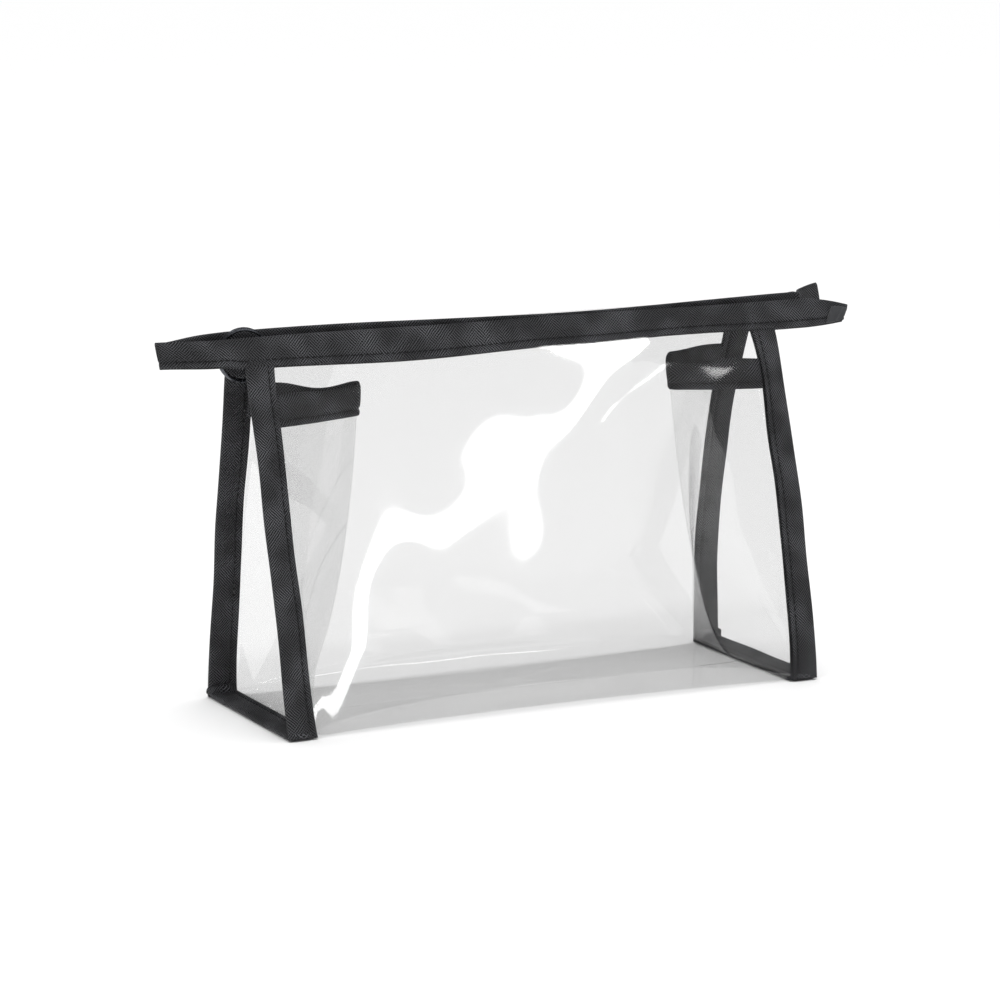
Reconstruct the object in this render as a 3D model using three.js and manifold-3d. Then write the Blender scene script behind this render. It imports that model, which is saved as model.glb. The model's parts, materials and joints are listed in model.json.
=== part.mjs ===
// A clear zip-top makeup bag, standing empty on its base with its zip run open.
// Millimetres, +X along the zip to the right, +Y to the back, +Z up.
// The origin is on the floor, in the middle of the whole bag's box.
import * as THREE from "three";
import { mergeVertices } from "three/addons/utils/BufferGeometryUtils.js";
import Module from "manifold-3d";

// Overall sizes
const bagWidth = 217; // across the two side flanges
const bagDepth = 77; // front flange to back flange, on the floor
const bagHeight = 139; // floor to the top of the zip bands
const leftTail = 31; // zip bands past the left flange, sewn together at their tip
const frontRightTail = 35; // front band past the right flange
const backRightTail = 31; // back band past the right flange
const zipOffset = 7; // the zip's line lies this far behind the middle of the floor

// Film and folded tape
const filmThickness = 0.6;
const tapeWidth = 11; // a folded tape, from its fold to its raw edge
const bandHeight = 10.5; // the zip bands are the same tape, folded a little tighter
const tapeThickness = 2.4; // two plies of tape with the film between them
const foldThickness = 0.8; // the tape's own fold, past the film's edge
const clearance = 0.3; // between neighbouring solids
const lipGap = 10.8; // between the inner faces of the two bands
const tailLead = 10; // the left tails start to close this far past the flange
const flareLead = 15; // the back band's flare starts this far past the right flange
const flareOut = 5; // how far its free end stands away from the mouth
const hemLength = 12; // the front band's free end is folded back on itself

// Gussets
const gussetDrop = 10; // from the bands' lower edges down to the gussets' tops
const leftFoldShare = 1; // how much of the left gusset's slack is folded inwards
const rightFoldShare = 0.72; // the right one stands blunter
const foldRadius = 2.6; // of the gusset's inward fold
const noseShare = 0.4; // where the fold is shallow, its radius is this much of its depth

// Zip
const zipRecess = 7; // from the band tops down to the middle of the zip tape
const zipTapeThickness = 0.6;
const coilWidth = 2.2; // of one side's coil
const coilThickness = 2;
const ringThickness = 1.7; // across its two turns of wire
const coilPlay = 0.35; // the pull ring hangs between the coils with this much room a side
const chainEndLength = 7.5; // the closed stretch of chain at the left end
const stopLength = 2.6;
const stopWall = 0.5;

// Slider
const sliderLength = 8.4;
const sliderNoseWidth = 5.4;
const sliderShoulderWidth = 7.4;
const sliderPlate = 0.9;
const channelHeadroom = 1.4; // the coils rise as the mouth opens, so the channel is high
const channelFootroom = 0.35;
const postLength = 2.4;
const postPlay = 0.4; // between the post and each coil
const bridgeWidth = 1.6;
const bridgeBar = 1;
const bridgeFoot = 1.2;
const bridgeWindow = 2.4;
const bridgeSetback = 0.4; // from the slider's wide end to the bridge's foot

// Pull loop and ring
const loopWire = 1;
const loopLength = 8.9;
const loopWidth = 5;
const loopCorner = 1.6; // outer radius at the loop's corners
const loopDroop = 11; // degrees below level, where it rests on the slider's edge
const loopPlay = 1; // from the loop's hinge to the bridge's right foot
const ringRadius = 9.25; // to the middle of the wire
const ringWire = 1.5;
const ringHang = 21; // degrees that the ring's middle lies below its hold on the loop
const ringHold = 1.4; // from the middle of the ring's wire to the loop's far bar
const sliderOutset = 13.1; // the slider's middle at rest, past the left flange
const coilInset = 12.9; // from the coils' right ends to the right flange's edge

// Heights and places that follow
const filmLevel = tapeThickness / 2; // middle of the bottom film and of its creases
const slotWidth = filmThickness + 2 * clearance;
const halfWidth = bagWidth / 2;
const gussetTop = bagHeight - bandHeight - gussetDrop;
const sliderRest = -halfWidth - sliderOutset;
const coilEnd = halfWidth - coilInset; // the slider runs on until it stands here
const seamX = halfWidth - tapeWidth; // where the flanges meet the gussets
const creaseY = bagDepth / 2 - tapeThickness / 2;
const lipY = lipGap / 2 + tapeThickness / 2;
const rise = bagHeight - filmLevel;
const frontLean = Math.atan2(zipOffset - lipY + creaseY, rise);
const backLean = Math.atan2(creaseY - zipOffset - lipY, rise);
const coilGap = ringThickness + 2 * coilPlay;
const zipLevel = bagHeight - zipRecess;
const stopThickness = coilThickness + 2 * stopWall;
const sideX = { left: -1, right: 1 };
const sideFold = { left: leftFoldShare, right: rightFoldShare };

const black = { color: 0x17181b, roughness: 0.62 };
const film = { color: 0xeef2f4, roughness: 0.06, transparent: true, opacity: 0.3 };
const fabric = { color: 0x141417, roughness: 0.9 };
const nylon = { color: 0x1a1b1d, roughness: 0.45 };
const metal = { color: 0x26282c, roughness: 0.32, metalness: 0.85 };

const wasm = await Module();
wasm.setup();

const bag = new THREE.Group();
bag.position.x = (leftTail - frontRightTail) / 2;

// Each panel's group has its origin on its crease and its Z up the leaning panel.
const frontSide = new THREE.Group();
frontSide.position.set(0, -creaseY, filmLevel);
frontSide.rotation.x = -frontLean;
const backSide = new THREE.Group();
backSide.position.set(0, creaseY, filmLevel);
backSide.rotation.x = backLean;
bag.add(frontSide, backSide);

function addPiece(parent, name, geometry, finish) {
  const mesh = new THREE.Mesh(geometry, new THREE.MeshStandardMaterial(finish));
  mesh.name = name;
  parent.add(mesh);
  return mesh;
}

function toSolid(geometry) {
  const bare = geometry.clone();
  bare.deleteAttribute("normal");
  bare.deleteAttribute("uv");
  const merged = mergeVertices(bare, 1e-4);
  return new wasm.Manifold(
    new wasm.Mesh({
      numProp: 3,
      vertProperties: merged.attributes.position.array,
      triVerts: new Uint32Array(merged.index.array),
    }),
  );
}

// Closed shapes that overlap each other, made into one closed shape.
function join(...shapes) {
  const mesh = shapes.map(toSolid).reduce((sum, next) => sum.add(next)).getMesh();
  const geometry = new THREE.BufferGeometry();
  geometry.setAttribute("position", new THREE.BufferAttribute(mesh.vertProperties, 3));
  return geometry.setIndex(new THREE.BufferAttribute(mesh.triVerts, 1));
}

// A closed solid from rings of points, with its two ends capped as the 2-D outline says.
function loft(rings, outline) {
  const count = outline.length;
  const caps = THREE.ShapeUtils.triangulateShape(outline, []);
  const last = (rings.length - 1) * count;
  const index = [];
  for (let i = 0; i < last; i += count) {
    for (let j = 0; j < count; j++) {
      const k = (j + 1) % count;
      index.push(i + j, i + k, i + count + k, i + j, i + count + k, i + count + j);
    }
  }
  // The caps always come out counter-clockwise, whichever way round the outline goes.
  const turned = THREE.ShapeUtils.isClockWise(outline);
  for (const [a, b, c] of caps) {
    const [p, q] = turned ? [c, b] : [b, c];
    index.push(a, q, p, last + a, last + p, last + q);
  }
  const points = rings.flat();
  const volume = signedVolume(points, index);
  if (volume < 0) index.reverse();
  return new THREE.BufferGeometry().setFromPoints(points).setIndex(index);
}

function signedVolume(points, index) {
  let sum = 0;
  const across = new THREE.Vector3();
  for (let i = 0; i < index.length; i += 3) {
    across.crossVectors(points[index[i + 1]], points[index[i + 2]]);
    sum += points[index[i]].dot(across);
  }
  return sum;
}

// An outline of (y, z) points carried along X.
function prismAlongX(outline, x0, x1) {
  const shape = new THREE.Shape(outline.map(([y, z]) => new THREE.Vector2(y, z)));
  const geometry = new THREE.ExtrudeGeometry(shape, { depth: x1 - x0, bevelEnabled: false });
  const turn = new THREE.Matrix4().makeBasis(
    new THREE.Vector3(0, 1, 0),
    new THREE.Vector3(0, 0, 1),
    new THREE.Vector3(1, 0, 0),
  );
  return geometry.applyMatrix4(turn).translate(x0, 0, 0);
}

// A plate whose outline lies in the XY plane, from height z0 up to z1.
function plate(outline, z0, z1, holes = []) {
  const shape = new THREE.Shape(outline);
  for (const hole of holes) shape.holes.push(new THREE.Path(hole));
  const options = { depth: z1 - z0, bevelEnabled: false };
  return new THREE.ExtrudeGeometry(shape, options).translate(0, 0, z0);
}

function box(x0, x1, y0, y1, z0, z1) {
  const geometry = new THREE.BoxGeometry(x1 - x0, y1 - y0, z1 - z0);
  return geometry.translate((x0 + x1) / 2, (y0 + y1) / 2, (z0 + z1) / 2);
}

// Folded tape in section: a U of two plies, closed at "depth" and open at 0 for the film.
function foldedTape(depth) {
  const outer = tapeThickness / 2;
  const inner = slotWidth / 2;
  const floor = depth - foldThickness;
  return [
    [-outer, 0],
    [-inner, 0],
    [-inner, floor],
    [inner, floor],
    [inner, 0],
    [outer, 0],
    [outer, depth],
    [-outer, depth],
  ].map(([across, along]) => new THREE.Vector2(across, along));
}

// ---- Bottom: the film between its two flanges, which lie flat on the floor ----

function bottomPanel() {
  const halfX = halfWidth - foldThickness - clearance;
  const frontY = -creaseY + creaseRoom(frontLean);
  const backY = creaseY - creaseRoom(backLean);
  const half = filmThickness / 2;
  return box(-halfX, halfX, frontY, backY, filmLevel - half, filmLevel + half);
}

// From a crease to the bottom film's edge, clear of the flanges that lean over it.
function creaseRoom(lean) {
  const ply = tapeThickness / 2 / Math.cos(lean);
  return ply + (filmThickness / 2) * Math.tan(lean) + clearance;
}

// The side flanges stand at both ends of a bottom flange, so it stops short of them.
function bottomBinding(side) {
  const toFlange = (lean) =>
    creaseY - tapeThickness / 2 / Math.cos(lean) - filmLevel * Math.tan(lean) - clearance;
  const out = sideX[side];
  const rings = [-toFlange(frontLean), toFlange(backLean)].map((y) =>
    foldedTape(tapeWidth).map(
      (p) => new THREE.Vector3(out * (seamX + p.y), y, filmLevel + p.x),
    ),
  );
  return loft(rings, foldedTape(tapeWidth));
}

// ---- Front and back panels, each in its own leaning group ----

const slant = { front: rise / Math.cos(frontLean), back: rise / Math.cos(backLean) };
const leanOf = { front: frontLean, back: backLean };
const inward = { front: 1, back: -1 }; // the way from a panel to the zip, along Y

function panelFilm(face) {
  const halfX = halfWidth - foldThickness - clearance;
  const top = slant[face] - foldThickness - clearance;
  const half = filmThickness / 2;
  return box(-halfX, halfX, -half, half, clearance, top);
}

// A side flange runs from the floor up to the band.
function sideBinding(face, side) {
  const lean = leanOf[face];
  const bottom = (tapeThickness / 2) * Math.tan(lean) - filmLevel / Math.cos(lean);
  const out = sideX[side];
  const rings = [bottom, slant[face] - bandHeight - clearance].map((z) =>
    foldedTape(tapeWidth).map((p) => new THREE.Vector3(out * (seamX + p.y), p.x, z)),
  );
  return loft(rings, foldedTape(tapeWidth));
}

// How far a band has come in towards the zip at x: the left tails close on each other.
const tailStart = -halfWidth - tailLead;
const tipX = -halfWidth - leftTail;
function tailShift(x) {
  const t = THREE.MathUtils.smoothstep(tailStart - x, 0, tailStart - tipX);
  return t * (lipGap / 2 - clearance);
}

// The back band's free end flares away from the mouth.
const flareStart = halfWidth + flareLead;
function flareShift(face, x) {
  if (face === "front") return 0;
  const t = THREE.MathUtils.smoothstep(x, flareStart, halfWidth + backRightTail);
  return t * flareOut;
}

function bandStations(face) {
  const right = halfWidth + (face === "front" ? frontRightTail : backRightTail);
  const steps = 8;
  const stations = [];
  for (let i = 0; i <= steps; i++) {
    stations.push(THREE.MathUtils.lerp(tipX, tailStart, i / steps));
  }
  stations.push(flareStart);
  const flareSteps = face === "front" ? 1 : 5;
  for (let i = 1; i <= flareSteps; i++) {
    stations.push(THREE.MathUtils.lerp(flareStart, right, i / flareSteps));
  }
  return stations;
}

function zipBand(face) {
  const outline = foldedTape(bandHeight);
  const base = slant[face] - bandHeight;
  const rings = bandStations(face).map((x) => {
    const y = inward[face] * (tailShift(x) - flareShift(face, x));
    return outline.map((p) => new THREE.Vector3(x, y + p.x, base + p.y));
  });
  const band = loft(rings, outline);
  if (face === "back") return band;
  const right = halfWidth + frontRightTail;
  const left = right - hemLength;
  const outer = -tapeThickness / 2 - foldThickness;
  const inner = -tapeThickness / 2 + clearance;
  const top = slant[face];
  return join(
    band,
    box(left, right, outer, inner, base, top),
    box(left, right, outer, 0, top - foldThickness, top),
  );
}

// ---- Gussets: each folds inwards in a hairpin that dies out at the floor ----

const gussetX = seamX - filmThickness / 2 - clearance;
const gussetBottom = filmLevel + filmThickness / 2 + clearance;
const gussetInset = tapeThickness / 2 + filmThickness / 2 + 2 * clearance;

// The two panels' middle planes at a height, as y.
function panelY(face, z) {
  return -inward[face] * (creaseY - (z - filmLevel) * Math.tan(leanOf[face]));
}

function gussetSpan(z) {
  const front = panelY("front", z) + gussetInset;
  const back = panelY("back", z) - gussetInset;
  return { middle: (front + back) / 2, half: (back - front) / 2 };
}

// The hairpin at height z: two straight legs that run on to a round nose, as (x, y) points
// from the front panel to the back one.
function hairpin(side, z) {
  const leg = gussetSpan(filmLevel).half;
  const { middle, half } = gussetSpan(z);
  const depth = sideFold[side] * Math.sqrt(Math.max(leg * leg - half * half, 0));
  const radius = Math.min(foldRadius, depth * noseShare);
  const centre = depth - radius;
  const reach = Math.hypot(centre, half);
  const tangent = Math.atan2(half, -centre) - Math.acos(Math.min(radius / reach, 1));
  const touch = new THREE.Vector2(
    centre + radius * Math.cos(tangent),
    radius * Math.sin(tangent),
  );
  const start = new THREE.Vector2(0, half);
  const points = [];
  const legSteps = 6;
  for (let i = 0; i < legSteps; i++) points.push(start.clone().lerp(touch, i / legSteps));
  const arcSteps = 3;
  for (let i = 0; i < arcSteps; i++) {
    const angle = tangent * (1 - i / arcSteps);
    points.push(
      new THREE.Vector2(centre + radius * Math.cos(angle), radius * Math.sin(angle)),
    );
  }
  const nose = new THREE.Vector2(depth, 0);
  const frontLeg = points.map((p) => new THREE.Vector2(p.x, -p.y));
  const out = sideX[side];
  return [...frontLeg, nose, ...points.reverse()].map(
    (p) => new THREE.Vector2(out * (gussetX - p.x), middle + p.y),
  );
}

// Unit normals of an open path, each the mean of its two neighbours' sides.
function pathNormals(path) {
  return path.map((_, i) => {
    const before = path[Math.max(i - 1, 0)];
    const after = path[Math.min(i + 1, path.length - 1)];
    const along = after.clone().sub(before).normalize();
    return new THREE.Vector2(-along.y, along.x);
  });
}

// Under the top binding the film's height lines are straight, so the two stay parallel.
const bindingFoot = gussetTop - tapeWidth;
function gussetPath(side, z) {
  if (z <= bindingFoot) return hairpin(side, z);
  const high = hairpin(side, gussetTop);
  const t = (z - bindingFoot) / tapeWidth;
  return hairpin(side, bindingFoot).map((p, i) => p.lerp(high[i], t));
}

function gussetFilm(side) {
  const levels = 9;
  const heights = [];
  for (let i = 0; i <= levels; i++) {
    heights.push(THREE.MathUtils.lerp(gussetBottom, bindingFoot, (i / levels) ** 1.5));
  }
  heights.push(gussetTop - foldThickness - clearance);
  const half = filmThickness / 2;
  const rings = [];
  let outline;
  for (const z of heights) {
    const path = gussetPath(side, z);
    const normals = pathNormals(path);
    const one = path.map((p, j) => p.clone().addScaledVector(normals[j], half));
    const other = path.map((p, j) => p.clone().addScaledVector(normals[j], -half));
    outline = [...one, ...other.reverse()];
    rings.push(outline.map((p) => new THREE.Vector3(p.x, p.y, z)));
  }
  return loft(rings, outline);
}

// The folded tape over a gusset's top edge follows the hairpin.
function gussetTopBinding(side) {
  const outline = foldedTape(tapeWidth);
  const low = gussetPath(side, bindingFoot);
  const high = gussetPath(side, gussetTop);
  const normals = pathNormals(high);
  const rings = low.map((foot, i) =>
    outline.map((p) => {
      const spot = foot.clone().lerp(high[i], p.y / tapeWidth);
      spot.addScaledVector(normals[i], p.x);
      return new THREE.Vector3(spot.x, spot.y, bindingFoot + p.y);
    }),
  );
  return loft(rings, outline);
}

// ---- Zip: a tape and a coil behind each band, and the closed end at the left ----

const shoulder = sliderLength / 2; // the slider's wide end, from its middle
const postEnd = shoulder - bridgeSetback;
const tapeStart = sliderRest + shoulder + clearance;
const tapeRight = flareStart - clearance;

// The inner face of a band at a height, as a distance from the zip's line.
function bandInner(face, z) {
  const lean = leanOf[face];
  const middle = panelY(face, z) - zipOffset;
  return -inward[face] * middle - tapeThickness / 2 / Math.cos(lean);
}

// Distances from the zip's line, and heights, turned into this face's (y, z) outline.
function onFace(face, outline) {
  return outline.map(([away, z]) => [zipOffset - inward[face] * away, z]);
}

// An L in section: level from the coil to the band, then down the band's inner face.
function zipTape(face) {
  const half = zipTapeThickness / 2;
  const coilSide = coilGap / 2 + coilWidth + clearance;
  const top = zipLevel + half;
  const low = bagHeight - bandHeight + clearance;
  const outer = (z) => bandInner(face, z) - clearance;
  const inner = (z) => outer(z) - zipTapeThickness;
  const outline = [
    [coilSide, zipLevel - half],
    [inner(zipLevel - half), zipLevel - half],
    [inner(low), low],
    [outer(low), low],
    [outer(top), top],
    [coilSide, top],
  ];
  return prismAlongX(onFace(face, outline), tapeStart, tapeRight);
}

// A bar of this thickness in a coil's place, from x0 to x1.
function coilBar(face, thickness, x0, x1) {
  const inner = coilGap / 2;
  const outer = inner + coilWidth;
  const low = zipLevel - thickness / 2;
  const high = zipLevel + thickness / 2;
  const outline = [[inner, low], [outer, low], [outer, high], [inner, high]];
  return prismAlongX(onFace(face, outline), x0, x1);
}

function zipCoil(face) {
  return coilBar(face, coilThickness, tapeStart, coilEnd);
}

// A clamp on the right end of a coil, which the slider runs up against.
function topStop(face) {
  const start = coilEnd + clearance;
  return coilBar(face, stopThickness, start, start + stopLength);
}

// The closed stretch of chain that the open slider stands on, and the stop behind it.
const chainStop = sliderRest + postEnd - postLength - clearance;
const chainStart = chainStop - chainEndLength;

function chainBar(thickness, x0, x1) {
  const low = zipLevel - thickness / 2;
  const high = zipLevel + thickness / 2;
  return box(x0, x1, zipOffset - coilWidth, zipOffset + coilWidth, low, high);
}

function chainEnd() {
  return chainBar(coilThickness, chainStart, chainStop);
}

function bottomStop() {
  const end = chainStart - clearance;
  return chainBar(stopThickness, end - stopLength, end);
}

// ---- Slider: two plates on a post, a bridge, the pull loop and the split ring ----

const plateUnder = coilThickness / 2 + channelHeadroom; // underside of the top plate
const plateTop = plateUnder + sliderPlate;
const channelFloor = -coilThickness / 2 - channelFootroom;

const slider = new THREE.Group();
slider.position.set(sliderRest, zipOffset, zipLevel);
bag.add(slider);

function sliderOutline() {
  const nose = sliderNoseWidth / 2;
  const wide = sliderShoulderWidth / 2;
  const corner = 1;
  const shape = new THREE.Shape();
  shape.moveTo(-shoulder + corner, -nose);
  shape.lineTo(shoulder - 3 * corner, -wide);
  shape.lineTo(shoulder - corner, -wide);
  shape.lineTo(shoulder, -wide + corner);
  shape.lineTo(shoulder, wide - corner);
  shape.lineTo(shoulder - corner, wide);
  shape.lineTo(shoulder - 3 * corner, wide);
  shape.lineTo(-shoulder + corner, nose);
  shape.lineTo(-shoulder, nose - corner);
  shape.lineTo(-shoulder, -nose + corner);
  return shape.getPoints();
}

function sliderBody() {
  const sink = sliderPlate / 2; // the post and the feet run on into the plates
  const postHalf = coilGap / 2 - postPlay;
  const foot = bridgeWidth / 2;
  const barTop = plateTop + bridgeWindow + bridgeBar;
  const right = shoulder - bridgeSetback;
  const left = -shoulder + 3 * bridgeSetback;
  return join(
    plate(sliderOutline(), channelFloor - sliderPlate, channelFloor),
    plate(sliderOutline(), plateUnder, plateTop),
    box(postEnd - postLength, postEnd, -postHalf, postHalf, channelFloor - sink, plateUnder + sink),
    box(right - bridgeFoot, right, -foot, foot, plateTop - sink, barTop),
    box(left, left + bridgeFoot, -foot, foot, plateTop - sink, barTop),
    box(left, right, -foot, foot, plateTop + bridgeWindow, barTop),
  );
}

// The loop's group has its origin on the loop's hinge, inside the bridge's window.
const loopGroup = new THREE.Group();
const loopHingeX = shoulder - bridgeSetback - bridgeFoot - loopPlay;
loopGroup.position.set(loopHingeX, 0, plateTop + bridgeWindow / 2);
loopGroup.rotation.y = THREE.MathUtils.degToRad(loopDroop);
slider.add(loopGroup);

function roundedRectangle(x0, x1, halfY, radius) {
  const shape = new THREE.Shape();
  shape.moveTo(x0 + radius, -halfY);
  shape.lineTo(x1 - radius, -halfY);
  shape.absarc(x1 - radius, -halfY + radius, radius, -Math.PI / 2, 0);
  shape.absarc(x1 - radius, halfY - radius, radius, 0, Math.PI / 2);
  shape.absarc(x0 + radius, halfY - radius, radius, Math.PI / 2, Math.PI);
  shape.absarc(x0 + radius, -halfY + radius, radius, Math.PI, 1.5 * Math.PI);
  return shape.getPoints(3);
}

const loopFarBar = loopLength - 1.5 * loopWire; // its inner face, from the hinge

function pullLoop() {
  const half = loopWire / 2;
  const outer = roundedRectangle(-half, loopLength - half, loopWidth / 2, loopCorner);
  const inner = roundedRectangle(half, loopFarBar, loopWidth / 2 - loopWire, loopCorner - loopWire);
  return plate(outer, -half, half, [inner]);
}

// The ring hangs upright through the loop, in the plane of the zip's line.
const ringGroup = new THREE.Group();
ringGroup.position.x = loopFarBar - ringHold;
ringGroup.rotation.y = THREE.MathUtils.degToRad(ringHang - loopDroop);
loopGroup.add(ringGroup);

function pullRing() {
  const inner = ringRadius - ringWire / 2;
  const outer = ringRadius + ringWire / 2;
  const half = ringThickness / 2;
  const ease = 0.35;
  const section = [
    [inner, -half + ease],
    [inner + ease, -half],
    [outer - ease, -half],
    [outer, -half + ease],
    [outer, half - ease],
    [outer - ease, half],
    [inner + ease, half],
    [inner, half - ease],
    [inner, -half + ease],
  ].map(([radius, across]) => new THREE.Vector2(radius, across));
  return new THREE.LatheGeometry(section, 40).translate(ringRadius, 0, 0);
}

addPiece(bag, "bottom_panel", bottomPanel(), film);
for (const side of ["left", "right"]) {
  addPiece(bag, side + "_bottom_binding", bottomBinding(side), black);
  addPiece(bag, side + "_gusset", gussetFilm(side), film);
  addPiece(bag, side + "_gusset_top_binding", gussetTopBinding(side), black);
}
for (const [face, group] of [["front", frontSide], ["back", backSide]]) {
  addPiece(group, face + "_panel", panelFilm(face), film);
  addPiece(group, face + "_left_binding", sideBinding(face, "left"), black);
  addPiece(group, face + "_right_binding", sideBinding(face, "right"), black);
  addPiece(group, face + "_zip_band", zipBand(face), black);
  addPiece(bag, face + "_zip_tape", zipTape(face), fabric);
  addPiece(bag, face + "_zip_coil", zipCoil(face), nylon);
  addPiece(bag, face + "_top_stop", topStop(face), metal);
}
addPiece(bag, "zip_chain_end", chainEnd(), nylon);
addPiece(bag, "zip_bottom_stop", bottomStop(), metal);
addPiece(slider, "zip_slider", sliderBody(), metal);
addPiece(loopGroup, "pull_loop", pullLoop(), metal);
addPiece(ringGroup, "pull_ring", pullRing(), metal);

export default bag;
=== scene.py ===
"""A clear zip-top makeup bag: film walls bound in folded black tape, an open zip and a split ring.

Metres, +X along the zip, +Y to the back, +Z up. Each operator makes one piece, or a group of
like pieces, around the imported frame, and the stage operator adds floor, light and camera.
"""

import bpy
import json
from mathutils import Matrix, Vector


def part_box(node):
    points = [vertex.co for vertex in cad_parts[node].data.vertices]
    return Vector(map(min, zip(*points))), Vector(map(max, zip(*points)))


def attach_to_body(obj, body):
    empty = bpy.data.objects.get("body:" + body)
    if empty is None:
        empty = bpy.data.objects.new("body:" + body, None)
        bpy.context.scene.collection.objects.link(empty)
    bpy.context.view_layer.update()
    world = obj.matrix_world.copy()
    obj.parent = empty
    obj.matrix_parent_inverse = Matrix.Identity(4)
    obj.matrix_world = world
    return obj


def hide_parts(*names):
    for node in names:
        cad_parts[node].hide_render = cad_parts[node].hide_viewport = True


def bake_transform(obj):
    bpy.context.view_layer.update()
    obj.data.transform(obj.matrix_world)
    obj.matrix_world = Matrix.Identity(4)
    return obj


bl_info = {
    "name": "Clear Makeup Bag",
    "version": (1, 0, 0),
    "blender": (4, 5, 0),
    "location": "View3D > Sidebar > Makeup Bag",
    "description": "Builds a clear film makeup bag with folded-tape edges around its frame",
    "category": "Object",
}

import json
import math

import bpy
import numpy as np
from mathutils import Quaternion, Vector

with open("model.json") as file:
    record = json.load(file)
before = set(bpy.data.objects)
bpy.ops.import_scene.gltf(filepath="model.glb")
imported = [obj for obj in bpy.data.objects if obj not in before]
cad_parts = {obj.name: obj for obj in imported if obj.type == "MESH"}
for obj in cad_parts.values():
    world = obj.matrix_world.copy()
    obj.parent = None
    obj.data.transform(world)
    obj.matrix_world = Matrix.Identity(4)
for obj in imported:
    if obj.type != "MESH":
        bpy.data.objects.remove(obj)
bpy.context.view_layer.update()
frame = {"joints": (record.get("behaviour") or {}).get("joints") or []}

MM = 0.001
SIDES = {"left": -1, "right": 1}
FACES = {"front": -1, "back": 1}
X_AXIS = np.array([1.0, 0.0, 0.0])
Y_AXIS = np.array([0.0, 1.0, 0.0])
Z_AXIS = np.array([0.0, 0.0, 1.0])


# ---- Places that come from the frame ----


def span(node):
    """Lowest and highest corner of a frame node, as arrays."""
    low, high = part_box(node)
    return np.array(low), np.array(high)


def joint(name):
    """The frame's joint of this name."""
    return next(j for j in frame["joints"] if j["name"] == name)


LEFT_EDGE, RIGHT_EDGE = span("front_left_binding")[0][0], span("front_right_binding")[1][0]
LEFT_SEAM, RIGHT_SEAM = span("front_left_binding")[1][0], span("front_right_binding")[0][0]
SEAM = {"left": LEFT_SEAM, "right": RIGHT_SEAM}
TAPE_WIDTH = LEFT_SEAM - LEFT_EDGE
TAPE_THICKNESS = span("left_bottom_binding")[1][2]
TAIL_TIP = span("front_zip_band")[0][0]
BAND_END = {face: span(face + "_zip_band")[1][0] for face in FACES}
ZIP_LINE = joint("loop_flip")["pos_m"][1]
FRAME_FILM = span("bottom_panel")[1][2] - span("bottom_panel")[0][2]
SLIDER_LOW, SLIDER_HIGH = span("zip_slider")
COIL_LOW, COIL_HIGH = span("front_zip_coil")
ZIP_LEVEL = (COIL_LOW[2] + COIL_HIGH[2]) / 2
GUSSET_TOP = span("left_gusset_top_binding")[1][2]


class Panel:
    """A leaning face of the bag. Its places are x along it, up its slope, and out from it."""

    def __init__(self, face):
        low, high = span(face + "_panel")
        self.foot = np.array(joint(face + "_opening")["pos_m"])
        depth, rise = high[1] - low[1], high[2] - low[2]
        lean = math.atan2(depth, rise)
        for _ in range(4):
            wide, tall = FRAME_FILM * math.cos(lean), FRAME_FILM * math.sin(lean)
            lean = math.atan2(depth - wide, rise - tall)
        self.lean = lean
        self.outward = FACES[face]
        self.up = np.array([0.0, -self.outward * math.sin(lean), math.cos(lean)])
        self.out = np.array([0.0, self.outward * math.cos(lean), math.sin(lean)])
        # a leaning tape's highest corner is half its thickness out from its middle plane
        self.top = self.up_at(span(face + "_zip_band")[1][2])
        self.band_foot = self.up_at(span(face + "_left_binding")[1][2]) + 0.3 * MM
        self.band = self.top - self.band_foot

    def up_at(self, corner):
        """How far up the slope a leaning tape's top corner is, from the corner's height."""
        rise = corner - self.foot[2] - TAPE_THICKNESS / 2 * math.sin(self.lean)
        return rise / math.cos(self.lean)

    def place(self, x, up, out):
        """Points of the row frame: the crease, plus x along, up the slope and out from it."""
        x, up, out = np.broadcast_arrays(x, up, out)
        spot = self.foot + up[..., None] * self.up + out[..., None] * self.out
        return spot + (x[..., None] - self.foot[0]) * X_AXIS

    def y_at(self, z):
        """Where the face's middle plane is at a height."""
        return self.foot[1] - self.outward * (z - self.foot[2]) * math.tan(self.lean)


PANELS = {face: Panel(face) for face in FACES}


# ---- Sizes and colours ----


def hex_colour(text, alpha=1.0):
    """An sRGB hex value as the linear colour that shaders work in."""
    parts = [int(text[i : i + 2], 16) / 255 for i in (0, 2, 4)]
    linear = [c / 12.92 if c <= 0.04045 else ((c + 0.055) / 1.055) ** 2.4 for c in parts]
    return (*linear, alpha)


def length(name, description, default):
    return bpy.props.FloatProperty(
        name=name, description=description, default=default, min=0, unit="LENGTH", precision=5
    )


def colour(name, description, default):
    return bpy.props.FloatVectorProperty(
        name=name, description=description, default=hex_colour(default), size=4,
        min=0, max=1, subtype="COLOR",
    )


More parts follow.
